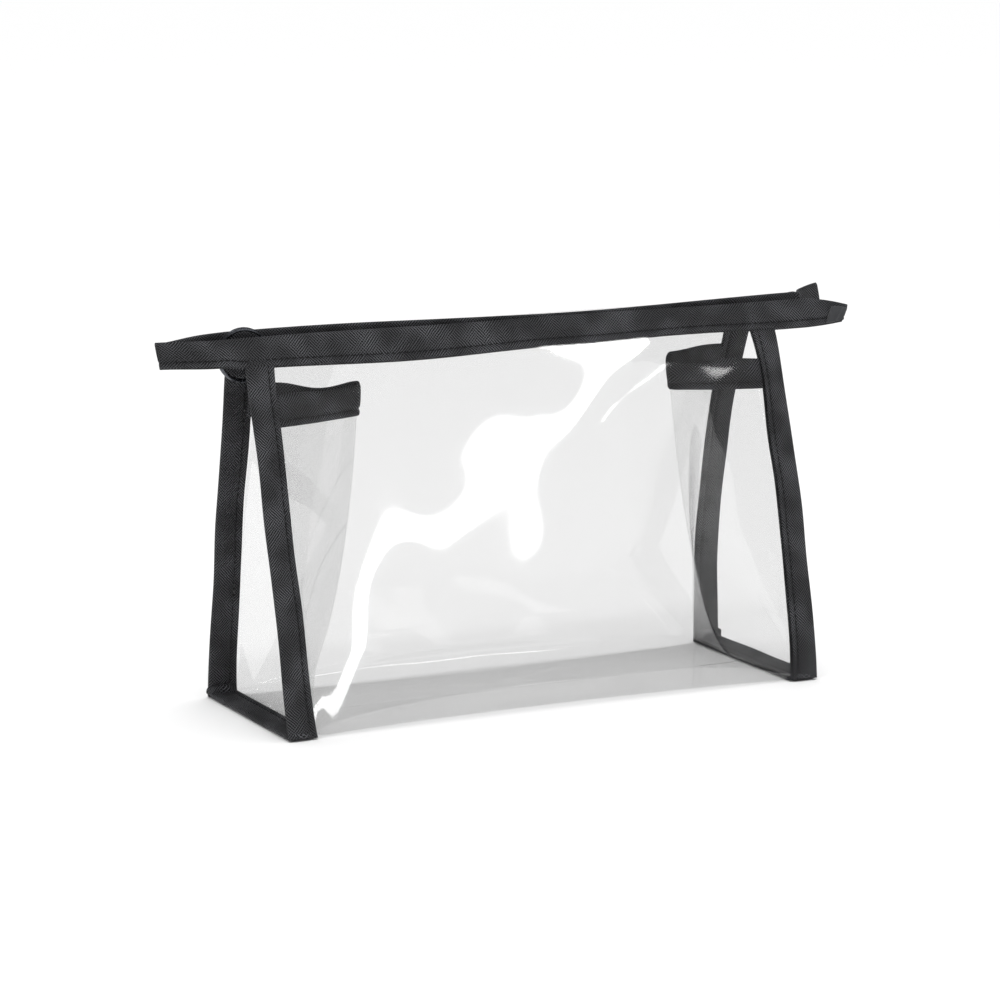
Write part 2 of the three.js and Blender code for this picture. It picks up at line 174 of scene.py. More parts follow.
class BagSizes(bpy.types.PropertyGroup):
    """Sizes that a maker would change, in metres."""

    film: length("Film", "Thickness of the clear film", 0.3 * MM)
    tape: length("Folded tape", "Thickness over both plies of a binding", TAPE_THICKNESS)
    slot: length("Slot", "Room between the plies, where the film lies", 0.6 * MM)
    crease: length("Crease", "Radius of the film between bottom and face, mid-width", 7 * MM)
    tight_crease: length("Crease at seams", "The same radius beside the side seams", 1.5 * MM)
    bulge: length("Bulge", "How far the film stands out in the middle of a face", 1.6 * MM)
    wave: length("Wave", "Height of the film's slack waves", 0.55 * MM)
    fold: length("Gusset fold", "Radius of a gusset's inward fold", 2.6 * MM)
    stitch: length("Stitch", "From one stitch to the next", 2.6 * MM)
    stitch_inset: length("Stitch inset", "From a tape's raw edge to its stitching", 2.3 * MM)
    thread: length("Thread", "Diameter of the sewing thread", 0.42 * MM)
    coil_pitch: length("Coil pitch", "From one turn of the zip coil to the next", 1.27 * MM)
    coil_wire: length("Coil wire", "Diameter of the nylon monofilament", 0.62 * MM)
    ring_wire: length("Ring wire", "Width of the split ring's wire, along its radius", 1.5 * MM)


class BagColours(bpy.types.PropertyGroup):
    """Colours of the bag's finishes."""

    film: colour("Film", "What one skin of film lets through", "FAFAFA")
    tape: colour("Tape", "The grooves of the cross-grain tape", "020203")
    # painted highlight: the ridges are coloured lighter than the grooves, standing in for the
    # lamps' glints on them
    painted_ridge_glint: colour("Tape ridges", "The raised grain of the tape", "808186")
    backing: colour("Backing", "The tape's woven back, where its end is turned over", "38393C")
    thread: colour("Thread", "Sewing thread", "0D0D0F")
    webbing: colour("Zip tape", "Woven zip tape", "16161A")
    nylon: colour("Coil", "Zip coil", "131315")
    metal: colour("Metal", "Black plated slider, loop and ring", "5C5E63")
    floor: colour("Floor", "Seamless paper", "F4F4F4")


# ---- Meshes from grids ----


def unit(vectors):
    return vectors / np.linalg.norm(vectors, axis=-1, keepdims=True)


def smooth(t):
    """A smooth step from 0 to 1 as t goes from 0 to 1."""
    t = np.clip(t, 0, 1)
    return t * t * (3 - 2 * t)


def bell(t):
    """1 at t 0, falling smoothly to 0 at t -1 and t 1."""
    return smooth(1 - np.abs(t))


def new_piece(name, points, faces, material, uv=None):
    """A mesh object from arrays: points (n, 3), faces as lists of indices, uv by face corner."""
    mesh = bpy.data.meshes.new(name)
    mesh.from_pydata(points.tolist(), [], faces)
    if uv is not None:
        layer = mesh.uv_layers.new(name="cloth")
        layer.data.foreach_set("uv", uv.astype(np.float32).ravel())
    mesh.shade_smooth()
    mesh.materials.append(material)
    piece = bpy.data.objects.new(name, mesh)
    bpy.context.scene.collection.objects.link(piece)
    return piece


def grid_faces(rows, columns, round_rows=False, round_columns=False):
    """Four-cornered faces of a grid, with the grid index of every corner before it wraps."""
    i, j = np.meshgrid(
        np.arange(rows if round_rows else rows - 1),
        np.arange(columns if round_columns else columns - 1),
        indexing="ij",
    )
    i, j = i.ravel(), j.ravel()
    corners = np.stack([[i, j], [i, j + 1], [i + 1, j + 1], [i + 1, j]], -1)
    flat = (corners[0] % rows) * columns + corners[1] % columns
    return flat, corners


def volume_of(points, quads):
    """Signed volume of quads: a sixth of the sum of the triple products of their triangles."""
    a, b, c, d = (points[quads[:, k]] for k in range(4))
    twice = np.einsum("ij,ij->i", a, np.cross(b, c)) + np.einsum("ij,ij->i", a, np.cross(c, d))
    return twice.sum() / 6


def sheet_grid(name, points, material):
    """An open sheet from a grid of points (rows, columns, 3)."""
    rows, columns = points.shape[:2]
    quads, _ = grid_faces(rows, columns)
    return new_piece(name, points.reshape(-1, 3), quads.tolist(), material)


def tube_grid(name, points, material, around=None, capped=True):
    """A closed body from a grid whose columns run round a section and whose rows run along it.

    With no caps the rows close on themselves too. around gives the distance round the section
    at each column, and makes the UV map: length along the rows, then distance round.
    """
    rows, columns = points.shape[:2]
    quads, corners = grid_faces(rows, columns, round_rows=not capped, round_columns=True)
    flat = points.reshape(-1, 3)
    inside_out = volume_of(flat, quads) < 0
    if inside_out:
        quads, corners = quads[:, ::-1], corners[:, :, ::-1]
    faces = quads.tolist()
    uv = None
    if around is not None:
        steps = np.linalg.norm(np.diff(points.mean(1), axis=0), axis=1)
        along = np.concatenate([[0], np.cumsum(steps)])
        if not capped:
            step = np.linalg.norm(points[0].mean(0) - points[-1].mean(0))
            along = np.append(along, along[-1] + step)
        uv = np.stack([along[corners[0]], around[corners[1]]], -1).reshape(-1, 2)
    if capped:
        first, last = np.arange(columns), np.arange(columns) + (rows - 1) * columns
        ends = [first, last[::-1]] if inside_out else [first[::-1], last]
        faces += [end.tolist() for end in ends]
        if uv is not None:
            turned = [around[end % columns] for end in ends]
            caps = [np.stack([t * 0, t], -1) for t in turned]
            uv = np.concatenate([uv, *caps])
    return new_piece(name, flat, faces, material, uv)


def carried(path, section, across, closed=False):
    """A section's points carried along a path (n, 3), as a grid.

    At each path point, the section's first number goes along across x tangent, and its second
    along tangent x that, which is across itself on a flat path.
    """
    if closed:
        tangent = unit(np.roll(path, -1, 0) - np.roll(path, 1, 0))
    else:
        tangent = unit(np.gradient(path, axis=0))
    first = unit(np.cross(across, tangent))
    second = np.cross(tangent, first)
    return (
        path[:, None]
        + section[None, :, :1] * first[:, None]
        + section[None, :, 1:] * second[:, None]
    )


def oval(width, height, count, power=2.0):
    """A rounded outline: cosine and sine, each raised to 2 / power with its sign kept."""
    turn = np.arange(count) * 2 * math.pi / count
    shape = np.stack([np.cos(turn), np.sin(turn)], -1)
    shape = np.sign(shape) * np.abs(shape) ** (2 / power)
    return shape * (width / 2, height / 2)


def thicken(piece, thickness):
    """Gives a sheet its two skins, half the thickness to each side."""
    wall = piece.modifiers.new("wall", "SOLIDIFY")
    wall.thickness = thickness
    wall.offset = 0
    return piece


def attach(piece, hold):
    """Rides on a body named by hold. Given a blend as (a, b, start, end), it is only fixed in
    place.
    """
    if isinstance(hold, str):
        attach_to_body(piece, hold)
    else:
        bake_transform(piece)
    return piece


# ---- Materials ----


def add_node(tree, kind, inputs=None, **settings):
    """Adds a node with its settings, and gives each input a value or a link."""
    node = tree.nodes.new(kind)
    for name, value in settings.items():
        setattr(node, name, value)
    for socket, value in (inputs or {}).items():
        if isinstance(value, bpy.types.NodeSocket):
            tree.links.new(value, node.inputs[socket])
        else:
            node.inputs[socket].default_value = value
    return node


def material_tree(name):
    """An empty material of this name, or the one that is there, and whether it is new."""
    made = bpy.data.materials.get(name)
    if made:
        return made, None
    made = bpy.data.materials.new(name)
    made.use_nodes = True
    made.node_tree.nodes.clear()
    return made, made.node_tree


def clear_film(colours):
    """Calendered soft PVC film: smooth, a little wavy, and mirror-like at a low angle.

    Light goes straight through, and each skin mirrors the share that Schlick's formula gives
    for an IOR of 1.53: base + (1 - base) * (1 - cosine) ** 5. It is held under 0.4, less than
    the formula gives at the lowest angles, so that the walls seen edge on stay clear.
    """
    made, tree = material_tree("calendered_clear_pvc_film")
    if tree is None:
        return made
    ior = 1.53
    base = ((ior - 1) / (ior + 1)) ** 2
    facing = add_node(tree, "ShaderNodeLayerWeight", {"Blend": 0.5})
    low_angle = add_node(
        tree, "ShaderNodeMath", {0: facing.outputs["Facing"], 1: 5.0}, operation="POWER"
    )
    share = add_node(
        tree, "ShaderNodeMapRange", {"Value": low_angle.outputs[0], "To Min": base, "To Max": 0.4}
    )
    places = add_node(tree, "ShaderNodeTexCoord")
    # the rollers and the folding leave slow waves, about 45 mm from crest to crest
    waves = add_node(
        tree, "ShaderNodeTexNoise",
        {"Vector": places.outputs["Object"], "Scale": 22.0, "Detail": 0.0},
    )
    ripple = add_node(
        tree, "ShaderNodeBump",
        {"Height": waves.outputs[0], "Strength": 1.0, "Distance": 1.6 * MM},
    )
    mirror = add_node(
        tree, "ShaderNodeBsdfGlossy",
        {"Color": (1, 1, 1, 1), "Roughness": 0.035, "Normal": ripple.outputs[0]},
    )
    through = add_node(tree, "ShaderNodeBsdfTransparent", {"Color": tuple(colours.film)})
    mixed = add_node(
        tree, "ShaderNodeMixShader",
        {0: share.outputs[0], 1: through.outputs[0], 2: mirror.outputs[0]},
    )
    add_node(tree, "ShaderNodeOutputMaterial", {"Surface": mixed.outputs[0]})
    return made


def crossgrain_tape(colours):
    """Black cross-grain embossed PU tape: hot-rolled, so fine ridges cross at 45 degrees.

    The ridges are 0.6 mm apart on the real tape, and drawn at 0.82 mm, the finest that shows.
    Each set is a sine of the distance across it, bent a little by noise, and slow noise lets
    one set or the other stand higher in patches, as the rollers do. The ridges are also painted
    lighter than the grooves, more so in patches, as painted highlights where they catch the lamps.
    """
    made, tree = material_tree("crossgrain_embossed_pu_tape")
    if tree is None:
        return made
    pitch = 0.82 * MM
    places = add_node(tree, "ShaderNodeTexCoord")
    turned = add_node(
        tree, "ShaderNodeMapping",
        {
            "Vector": places.outputs["UV"],
            "Rotation": (0, 0, math.pi / 4),
            "Scale": (2 * math.pi / pitch,) * 3,
        },
    )
    uneven = add_node(
        tree, "ShaderNodeTexNoise",
        {"Vector": places.outputs["UV"], "Scale": 1 / (2.5 * MM), "Detail": 2.0},
    )
    patches = add_node(
        tree, "ShaderNodeTexNoise",
        {"Vector": places.outputs["UV"], "Scale": 1 / (7 * MM), "Detail": 1.0},
    )
    split = add_node(tree, "ShaderNodeSeparateXYZ", {0: turned.outputs[0]})
    bend = add_node(
        tree, "ShaderNodeMath", {0: uneven.outputs[0], 1: 5.0}, operation="MULTIPLY"
    )
    ridges = []
    for axis, least, most in (("X", 1.0, 0.25), ("Y", 0.25, 1.0)):
        across = add_node(
            tree, "ShaderNodeMath", {0: split.outputs[axis], 1: bend.outputs[0]}, operation="ADD"
        )
        crest = add_node(tree, "ShaderNodeMath", {0: across.outputs[0]}, operation="SINE")
        height = add_node(
            tree, "ShaderNodeMapRange",
            {"Value": crest.outputs[0], "From Min": 0.45, "From Max": 1.0},
        )
        weight = add_node(
            tree, "ShaderNodeMapRange",
            {
                "Value": patches.outputs[0], "From Min": 0.42, "From Max": 0.58,
                "To Min": least, "To Max": most,
            },
        )
        ridges.append(
            add_node(
                tree, "ShaderNodeMath", {0: height.outputs[0], 1: weight.outputs[0]},
                operation="MULTIPLY",
            )
        )
    grain = add_node(
        tree, "ShaderNodeMath", {0: ridges[0].outputs[0], 1: ridges[1].outputs[0]},
        operation="MAXIMUM",
    )
    # painted highlight: in patches a fingertip wide the ridges are coloured up to a light grey,
    # standing in for where they catch the lamps, and elsewhere they are coloured less
    glint_patch_noise = add_node(
        tree, "ShaderNodeTexNoise",
        {"Vector": places.outputs["UV"], "Scale": 1 / (15 * MM), "Detail": 1.0},
    )
    painted_glint_patches = add_node(
        tree, "ShaderNodeMapRange",
        {
            "Value": glint_patch_noise.outputs[0], "From Min": 0.4, "From Max": 0.64,
            "To Min": 0.45, "To Max": 1.0,
        },
    )
    light = add_node(
        tree, "ShaderNodeMath", {0: grain.outputs[0], 1: painted_glint_patches.outputs[0]}, operation="MULTIPLY"
    )
    # painted highlight: the base colour runs from the grooves' colour to the ridges' painted glint
    # colour by the grain times the painted glint patches
    shade = add_node(
        tree, "ShaderNodeMixRGB",
        {0: light.outputs[0], 1: tuple(colours.tape), 2: tuple(colours.painted_ridge_glint)},
    )
    polish = add_node(
        tree, "ShaderNodeMapRange",
        {"Value": grain.outputs[0], "To Min": 0.8, "To Max": 0.34},
    )
    relief = add_node(
        tree, "ShaderNodeBump",
        {"Height": grain.outputs[0], "Strength": 1.0, "Distance": 0.26 * MM},
    )
    skin = add_node(
        tree, "ShaderNodeBsdfPrincipled",
        {
            "Base Color": shade.outputs[0],
            "Roughness": polish.outputs[0],
            "Normal": relief.outputs[0],
            "IOR": 1.46,
            "Specular IOR Level": 0.5,
        },
    )
    add_node(tree, "ShaderNodeOutputMaterial", {"Surface": skin.outputs[0]})
    return made


def plain_finish(name, tint, roughness, grain, metallic=0.0):
    """A Principled finish whose roughness and relief follow fine noise of a size in metres."""
    made, tree = material_tree(name)
    if tree is None:
        return made
    size, depth, spread = grain
    places = add_node(tree, "ShaderNodeTexCoord")
    noise = add_node(
        tree, "ShaderNodeTexNoise",
        {"Vector": places.outputs["Object"], "Scale": 1 / size, "Detail": 3.0},
    )
    polish = add_node(
        tree, "ShaderNodeMapRange",
        {
            "Value": noise.outputs[0], "From Min": 0.3, "From Max": 0.7,
            "To Min": roughness - spread, "To Max": roughness + spread,
        },
    )
    relief = add_node(
        tree, "ShaderNodeBump", {"Height": noise.outputs[0], "Strength": 1.0, "Distance": depth}
    )
    values = {
        "Base Color": tuple(tint),
        "Metallic": metallic,
        "Roughness": polish.outputs[0],
        "Normal": relief.outputs[0],
    }
    if not metallic:
        values["IOR"] = 1.5
    skin = add_node(tree, "ShaderNodeBsdfPrincipled", values)
    add_node(tree, "ShaderNodeOutputMaterial", {"Surface": skin.outputs[0]})
    return made


def woven(name, tint, thread_size, roughness):
    """Plain-woven polyester: warp and weft as two crossed sines, high where their product is.

    The real threads are about 0.3 mm apart, and drawn at the size given so that they show.
    """
    made, tree = material_tree(name)
    if tree is None:
        return made
    places = add_node(tree, "ShaderNodeTexCoord")
    scaled = add_node(
        tree, "ShaderNodeMapping",
        {"Vector": places.outputs["UV"], "Scale": (math.pi / thread_size,) * 3},
    )
    split = add_node(tree, "ShaderNodeSeparateXYZ", {0: scaled.outputs[0]})
    warp = add_node(tree, "ShaderNodeMath", {0: split.outputs["X"]}, operation="SINE")
    weft = add_node(tree, "ShaderNodeMath", {0: split.outputs["Y"]}, operation="SINE")
    over = add_node(
        tree, "ShaderNodeMath", {0: warp.outputs[0], 1: weft.outputs[0]}, operation="MULTIPLY"
    )
    height = add_node(
        tree, "ShaderNodeMapRange", {"Value": over.outputs[0], "From Min": -1.0, "From Max": 1.0}
    )
    # painted shade: the weave's hollows, where the threads go under, are coloured at 0.55 of the
    # tint
    painted_hollow_shade = tuple(c * 0.55 for c in tint[:3]) + (1.0,)
    mix = add_node(tree, "ShaderNodeMixRGB", {0: height.outputs[0], 1: painted_hollow_shade, 2: tuple(tint)})
    relief = add_node(
        tree, "ShaderNodeBump",
        {"Height": height.outputs[0], "Strength": 1.0, "Distance": thread_size / 6},
    )
    skin = add_node(
        tree, "ShaderNodeBsdfPrincipled",
        {
            "Base Color": mix.outputs[0],
            "Roughness": roughness,
            "Normal": relief.outputs[0],
            "Sheen Weight": 0.25,
            "Sheen Roughness": 0.5,
        },
    )
    add_node(tree, "ShaderNodeOutputMaterial", {"Surface": skin.outputs[0]})
    return made


def finish(name, colours):
    """The material of this name, made the first time that it is asked for."""
    if name == "film":
        return clear_film(colours)
    if name == "tape":
        return crossgrain_tape(colours)
    if name == "backing":
        return woven("woven_polyester_backing", colours.backing, 0.5 * MM, 0.85)
    if name == "webbing":
        return woven("woven_polyester_zip_tape", colours.webbing, 0.45 * MM, 0.8)
    if name == "thread":
        return plain_finish(
            "spun_polyester_thread", colours.thread, 0.75, grain=(0.15 * MM, 0.03 * MM, 0.1)
        )
    if name == "nylon":
        return plain_finish(
            "drawn_nylon_monofilament", colours.nylon, 0.38, grain=(0.4 * MM, 0.01 * MM, 0.08)
        )
    if name == "metal":
        return plain_finish(
            "black_plated_zinc", colours.metal, 0.27, (0.9 * MM, 0.004 * MM, 0.07), metallic=1.0
        )
    raise ValueError("there is no finish called " + name)


# ---- Folded tape and its stitching ----


def tape_section(sizes, depth, long_ply=0.0):
    """A folded tape in section, as closed outlines of distance from its raw edge and across it.

    It is a U: two plies with round shoulders at their raw edges, a half round fold, and a slot
    for the film. Each face dips by a bell curve at the stitching and is crowned beyond it.
    The ply at negative across is longer than the other by long_ply.
    """
    half, slot = sizes.tape / 2, sizes.slot / 2
    dip, crown, shoulder = 0.5 * MM, 0.14 * MM, 0.25 * MM

    def ply(start, count):
        along = start + (depth - half - start) * np.linspace(0, 1, count)
        groove = dip * bell((along - sizes.stitch_inset) / (0.95 * MM))
        body = (along - sizes.stitch_inset) / (depth - half - sizes.stitch_inset)
        puff = crown * np.sin(math.pi * np.clip(body, 0, 1))
        level = half - crown - groove + puff
        level[0] -= shoulder
        return np.stack([along, level], -1)

    outer, inner = ply(0.0, 21), ply(-long_ply, 21)
    turn = np.linspace(math.pi / 2, -math.pi / 2, 9)[1:-1]
    round_fold = np.stack([depth - half + half * np.cos(turn), (half - crown) * np.sin(turn)], -1)
    floor = depth - (half - slot) - slot
    slot_turn = np.linspace(-math.pi / 2, math.pi / 2, 5)
    slot_end = np.stack([floor + slot * np.cos(slot_turn), slot * np.sin(slot_turn)], -1)
    outline = np.concatenate(
        [
            outer,
            round_fold,
            (inner * (1, -1))[::-1],
            [[-long_ply, -slot]],
            slot_end,
            [[0.0, slot]],
        ]
    )
    steps = np.linalg.norm(np.diff(outline, axis=0, append=outline[:1]), axis=1)
    return outline, np.concatenate([[0], np.cumsum(steps)])


def tape_strip(name, context, stations, place, depth, hold, replaced, long_ply=0.0):
    """twice its depth and its thickness wide.
    """
    sizes, colours = context.scene.bag_sizes, context.scene.bag_colours
    outline, around = tape_section(sizes, depth, long_ply)
    grid = place(stations[:, None], outline[None, :, 0], outline[None, :, 1])
    strip = tube_grid(name, grid, finish("tape", colours), around)
    attach(strip, hold)
    if replaced:
        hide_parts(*replaced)
    threads = [
        stitch_row(name, sizes, colours, stations, place, face, hold) for face in (1, -1)
    ]
    return strip


def stitch_row(name, sizes, colours, stations, place, face, hold):
    """A row of stitches, each a short capsule that dives at both ends, in the tape's groove.

    A capsule is rings round its own axis: the radius is a half ellipse of the distance along,
    and the axis sinks by the square of that distance.
    """
    inset = np.array(sizes.stitch_inset)
    level = sizes.tape / 2 - 0.62 * MM
    margin = 4.5 * MM
    count = int((stations[-1] - stations[0] - 2 * margin) / sizes.stitch)
    s = stations[0] + margin + (np.arange(count) + 0.5) * sizes.stitch
    step = 0.2 * MM
    centre = place(s, inset, face * level)
    tangent = unit(place(s + step, inset, face * level) - place(s - step, inset, face * level))
    lift = unit(place(s, inset, face * (level + step)) - centre)
    beside = np.cross(tangent, lift)
    reach, radius = 0.42 * sizes.stitch, sizes.thread / 2
    along = np.sin(np.linspace(-math.pi / 2, math.pi / 2, 7))
    turn = np.arange(6) * math.pi / 3
    girth = radius * np.sqrt(np.maximum(1.02 - along**2, 0.02)) / math.sqrt(1.02)
    up = girth[:, None] * np.cos(turn) + (radius * (1 - 1.6 * along**2))[:, None]
    out = girth[:, None] * np.sin(turn)
    run = np.broadcast_to((reach * along)[:, None], up.shape)
    points = (
        centre[:, None, None]
        + run[None, ..., None] * tangent[:, None, None]
        + up[None, ..., None] * lift[:, None, None]
        + out[None, ..., None] * beside[:, None, None]
    )
    rings, columns = up.shape
    quads, _ = grid_faces(rings, columns, round_columns=True)
    one = points[0].reshape(-1, 3)
    flip = volume_of(one, quads) < 0
    if flip:
        quads = quads[:, ::-1]
    offset = np.arange(count)[:, None, None] * rings * columns
    faces = (quads[None] + offset).reshape(-1, 4).tolist()
    first = np.arange(columns)
    last = first + (rings - 1) * columns
    ends = (first, last[::-1]) if flip else (first[::-1], last)
    for end in ends:
        faces += (end[None] + offset[:, :, 0]).tolist()
    suffix = "_thread" if face > 0 else "_inner_thread"
    thread = new_piece(name + suffix, points.reshape(-1, 3), faces, finish("thread", colours))
    attach(thread, hold)
    return thread


# How far each side flange bows out at mid-height, and how far its raw edge is rolled in.
FLANGE_BOW = {
    ("front", "left"): -0.5 * MM,
    ("back", "left"): 0.5 * MM,
    ("front", "right"): 2.4 * MM,
    ("back", "right"): -5.4 * MM,
}
FLANGE_ROLL = {"left": 1.1 * MM, "right": 1.4 * MM}


def flange_shift(face, side, up):
    """How far a side flange's seam is from straight, along X, by a root of a sine of height."""
    height = np.clip(up / PANELS[face].band_foot, 0, 1)
    return SIDES[side] * FLANGE_BOW[face, side] * np.sin(math.pi * height) ** 0.8


# ---- Film ----


def face_bulge(sizes, x_share, up_share, face):
    """How far the film of a face stands out, from its shares across and up, each 0 to 1.

    A low crown that is the product of two sines, plus three slanting waves that die out at the
    seams. Each wave is a sine of a sum of the two shares.
    """
    seam = (np.sin(math.pi * x_share) * np.sin(math.pi * np.clip(up_share, 0, 1))) ** 0.7
    turn = 2 * math.pi
    if face == "front":
        waves = (
            np.sin(turn * (1.1 * x_share + 0.9 * up_share + 0.15))
            + 0.6 * np.sin(turn * (2.3 * x_share - 0.8 * up_share + 0.4))
            + 0.35 * np.sin(turn * (0.7 * x_share + 2.2 * up_share))
        )
    else:
        waves = (
            np.sin(turn * (1.4 * x_share - 0.7 * up_share + 0.6))
            + 0.5 * np.sin(turn * (2.6 * x_share + 1.1 * up_share))
        )
    return seam * (sizes.bulge + sizes.wave * waves)


def film_half(context, face):
    """Half of the film that wraps the bag, from the middle of its bottom to a zip band.

    Its rows run out along the floor, round a crease whose radius grows away from the seams,
    and up the face. Its columns run between the two side seams.
    """
    sizes, colours = context.scene.bag_sizes, context.scene.bag_colours
    panel = PANELS[face]
    edge = 4 * MM
    x = np.linspace(LEFT_EDGE + edge, RIGHT_EDGE - edge, 121)
    share = np.clip((x - LEFT_SEAM) / (RIGHT_SEAM - LEFT_SEAM), 0, 1)
    middle = np.sin(math.pi * share) ** 0.6
    radius = sizes.tight_crease + (sizes.crease - sizes.tight_crease) * middle
    turn = math.pi / 2 + panel.lean
    tangent = radius * math.tan(turn / 2)
    reach = abs(panel.foot[1])
    resting = sizes.film / 2 + 0.1 * MM
    floor = panel.foot[2] + (resting - panel.foot[2]) * smooth(4 * middle)
    across = np.linspace(0, 1, 22)[:, None] * (reach - tangent)
    slack = 0.2 * MM * middle * np.sin(math.pi * across / reach) * (1 + np.sin(9 * share))
    bottom = np.stack([across + 0 * x, floor + slack], -1)
    angle = np.linspace(0, turn, 16)[1:-1, None]
    corner = np.stack(
        [reach - tangent + radius * np.sin(angle), floor + radius * (1 - np.cos(angle))], -1
    )
    top = panel.top - 1.2 * MM
    climb = np.linspace(0, 1, 60)[:, None]
    up = tangent + climb * (top - tangent)
    drop = (floor - panel.foot[2]) * (1 - smooth(climb * 6))
    bulge = face_bulge(sizes, share, up / panel.band_foot, face)
    out = reach - up * math.sin(panel.lean) + bulge * math.cos(panel.lean)
    rise = panel.foot[2] + up * math.cos(panel.lean) + bulge * math.sin(panel.lean) + drop
    wall = np.stack([out, rise], -1)
    profile = np.concatenate([bottom, corner, wall])
    points = np.empty(profile.shape[:2] + (3,))
    points[..., 0] = x
    for side, near in (("left", 1 - 5 * share), ("right", 5 * share - 4)):
        points[-len(climb) :, :, 0] += flange_shift(face, side, up) * smooth(near)
    points[..., 1] = profile[..., 0] * panel.outward
    points[..., 2] = profile[..., 1]
    if face == "front":
        points = points[:, ::-1]
    film = thicken(sheet_grid(face + "_film", points, finish("film", colours)), sizes.film)
    crease = np.array([0, panel.foot[1], panel.foot[2]])
    attach(film, ("base", face, crease, crease + 9 * MM * Z_AXIS))
    replaced = [face + "_panel"] + (["bottom_panel"] if face == "front" else [])
    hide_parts(*replaced)
    return film


FOLD_SHARE = {
    side: (span(side + "_gusset_top_binding")[1][0] - span(side + "_gusset_top_binding")[0][0])
    / (span("left_gusset_top_binding")[1][0] - span("left_gusset_top_binding")[0][0])
    for side in SIDES
}
FOLD_SHARE = {"left": FOLD_SHARE["left"] * 1.03, "right": FOLD_SHARE["right"] * 1.15}
GUSSET_EDGE = 0.45 * MM  # from a face's middle plane to the gusset film that lies on it


def gusset_path(sizes, side, z, count=24, bend=8):
    """Half of a gusset's hairpin at heights z, from the seam to its nose, as x and y arrays.

    The leg runs straight from the seam and touches a circle round the nose. Its slack is fixed
    by the width at the floor, so the nose goes in by the root of leg squared less half the
    width squared. Returns distance in from the seam, and distance from the middle line.
    """
    z = np.asarray(z, float)[..., None]
    front = PANELS["front"].y_at(z) + GUSSET_EDGE
    back = PANELS["back"].y_at(z) - GUSSET_EDGE
    leg = (PANELS["back"].foot[1] - PANELS["front"].foot[1]) / 2 - GUSSET_EDGE
    half = (back - front) / 2
    depth = FOLD_SHARE[side] * np.sqrt(np.maximum(leg**2 - half**2, 0)) + 0.02 * MM
    radius = np.minimum(sizes.fold, 0.4 * depth)
    centre = depth - radius
    reach = np.hypot(centre, half)
    touch = np.arctan2(half, -centre) - np.arccos(np.clip(radius / reach, -1, 1))
    t = np.linspace(0, 1, count)
    foot_x, foot_y = centre + radius * np.cos(touch), radius * np.sin(touch)
    leg_x, leg_y = t * foot_x, half + t * (foot_y - half)
    angle = touch * (1 - np.linspace(0, 1, bend)[1:])
    nose_x, nose_y = centre + radius * np.cos(angle), radius * np.sin(angle)
    slack = 0.9 * MM * np.sin(math.pi * t) * smooth(depth / (20 * MM))
    return (
        np.concatenate([leg_x, nose_x], -1),
        np.concatenate([leg_y + slack, nose_y], -1),
        (front + back) / 2,
    )


def gusset_x(face, side, inward, z):
    """Where a gusset is along X, from how far it is in from the seam, at heights z.

    Near the seam it follows the flange's bow, and 20 mm in it no longer does.
    """
    shift = flange_shift(face, side, z / math.cos(PANELS[face].lean))
    return SEAM[side] - SIDES[side] * inward + shift * smooth(1 - inward / (20 * MM))


def gusset_hold(side, face):
    """Ends of a blend by which a half gusset would follow its face: not at all on the fold, and
    wholly at the seam.

    The seam and the fold are two straight lines, and the blend runs square to both, so every
    height of the gusset turns from the one to the other.
    """
    sizes = bpy.context.scene.bag_sizes
    panel = PANELS[face]
    low, high = 3 * MM, GUSSET_TOP
    into = -SIDES[side]
    spots = []
    for z in (low, high):
        x, _, middle = gusset_path(sizes, side, z)
        spots.append(np.array([SEAM[side] + into * x[-1], middle[0], z]))
    seam = np.array([SEAM[side], panel.y_at(low), low])
    normal = unit(np.cross(spots[1] - spots[0], panel.up))
    travel = normal * np.dot(seam - spots[0], normal)
    return ("base", face, spots[0], spots[0] + travel)


def gusset_film(context, side, face):
    """Half of a gusset's film: hairpin rows from the floor up to the tape over its top edge."""
    sizes, colours = context.scene.bag_sizes, context.scene.bag_colours
    z = PANELS["front"].foot[2] + (GUSSET_TOP - 2 * MM - PANELS["front"].foot[2]) * (
        np.linspace(0, 1, 70) ** 1.3
    )
    x, y, middle = gusset_path(sizes, side, z)
    tuck = np.full((len(z), 1), -3 * MM)  # the edge runs on between the flange's plies
    x = np.concatenate([tuck, x], -1)
    y = np.concatenate([y[:, :1], y], -1)
    z = np.broadcast_to(z[:, None], x.shape)
    points = np.stack([gusset_x(face, side, x, z), middle + FACES[face] * y, z], -1)
    name = f"{side}_gusset_film_{face}"
    film = thicken(sheet_grid(name, points, finish("film", colours)), sizes.film)
    attach(film, gusset_hold(side, face))
    if face == "front":
        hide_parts(side + "_gusset")
    return film


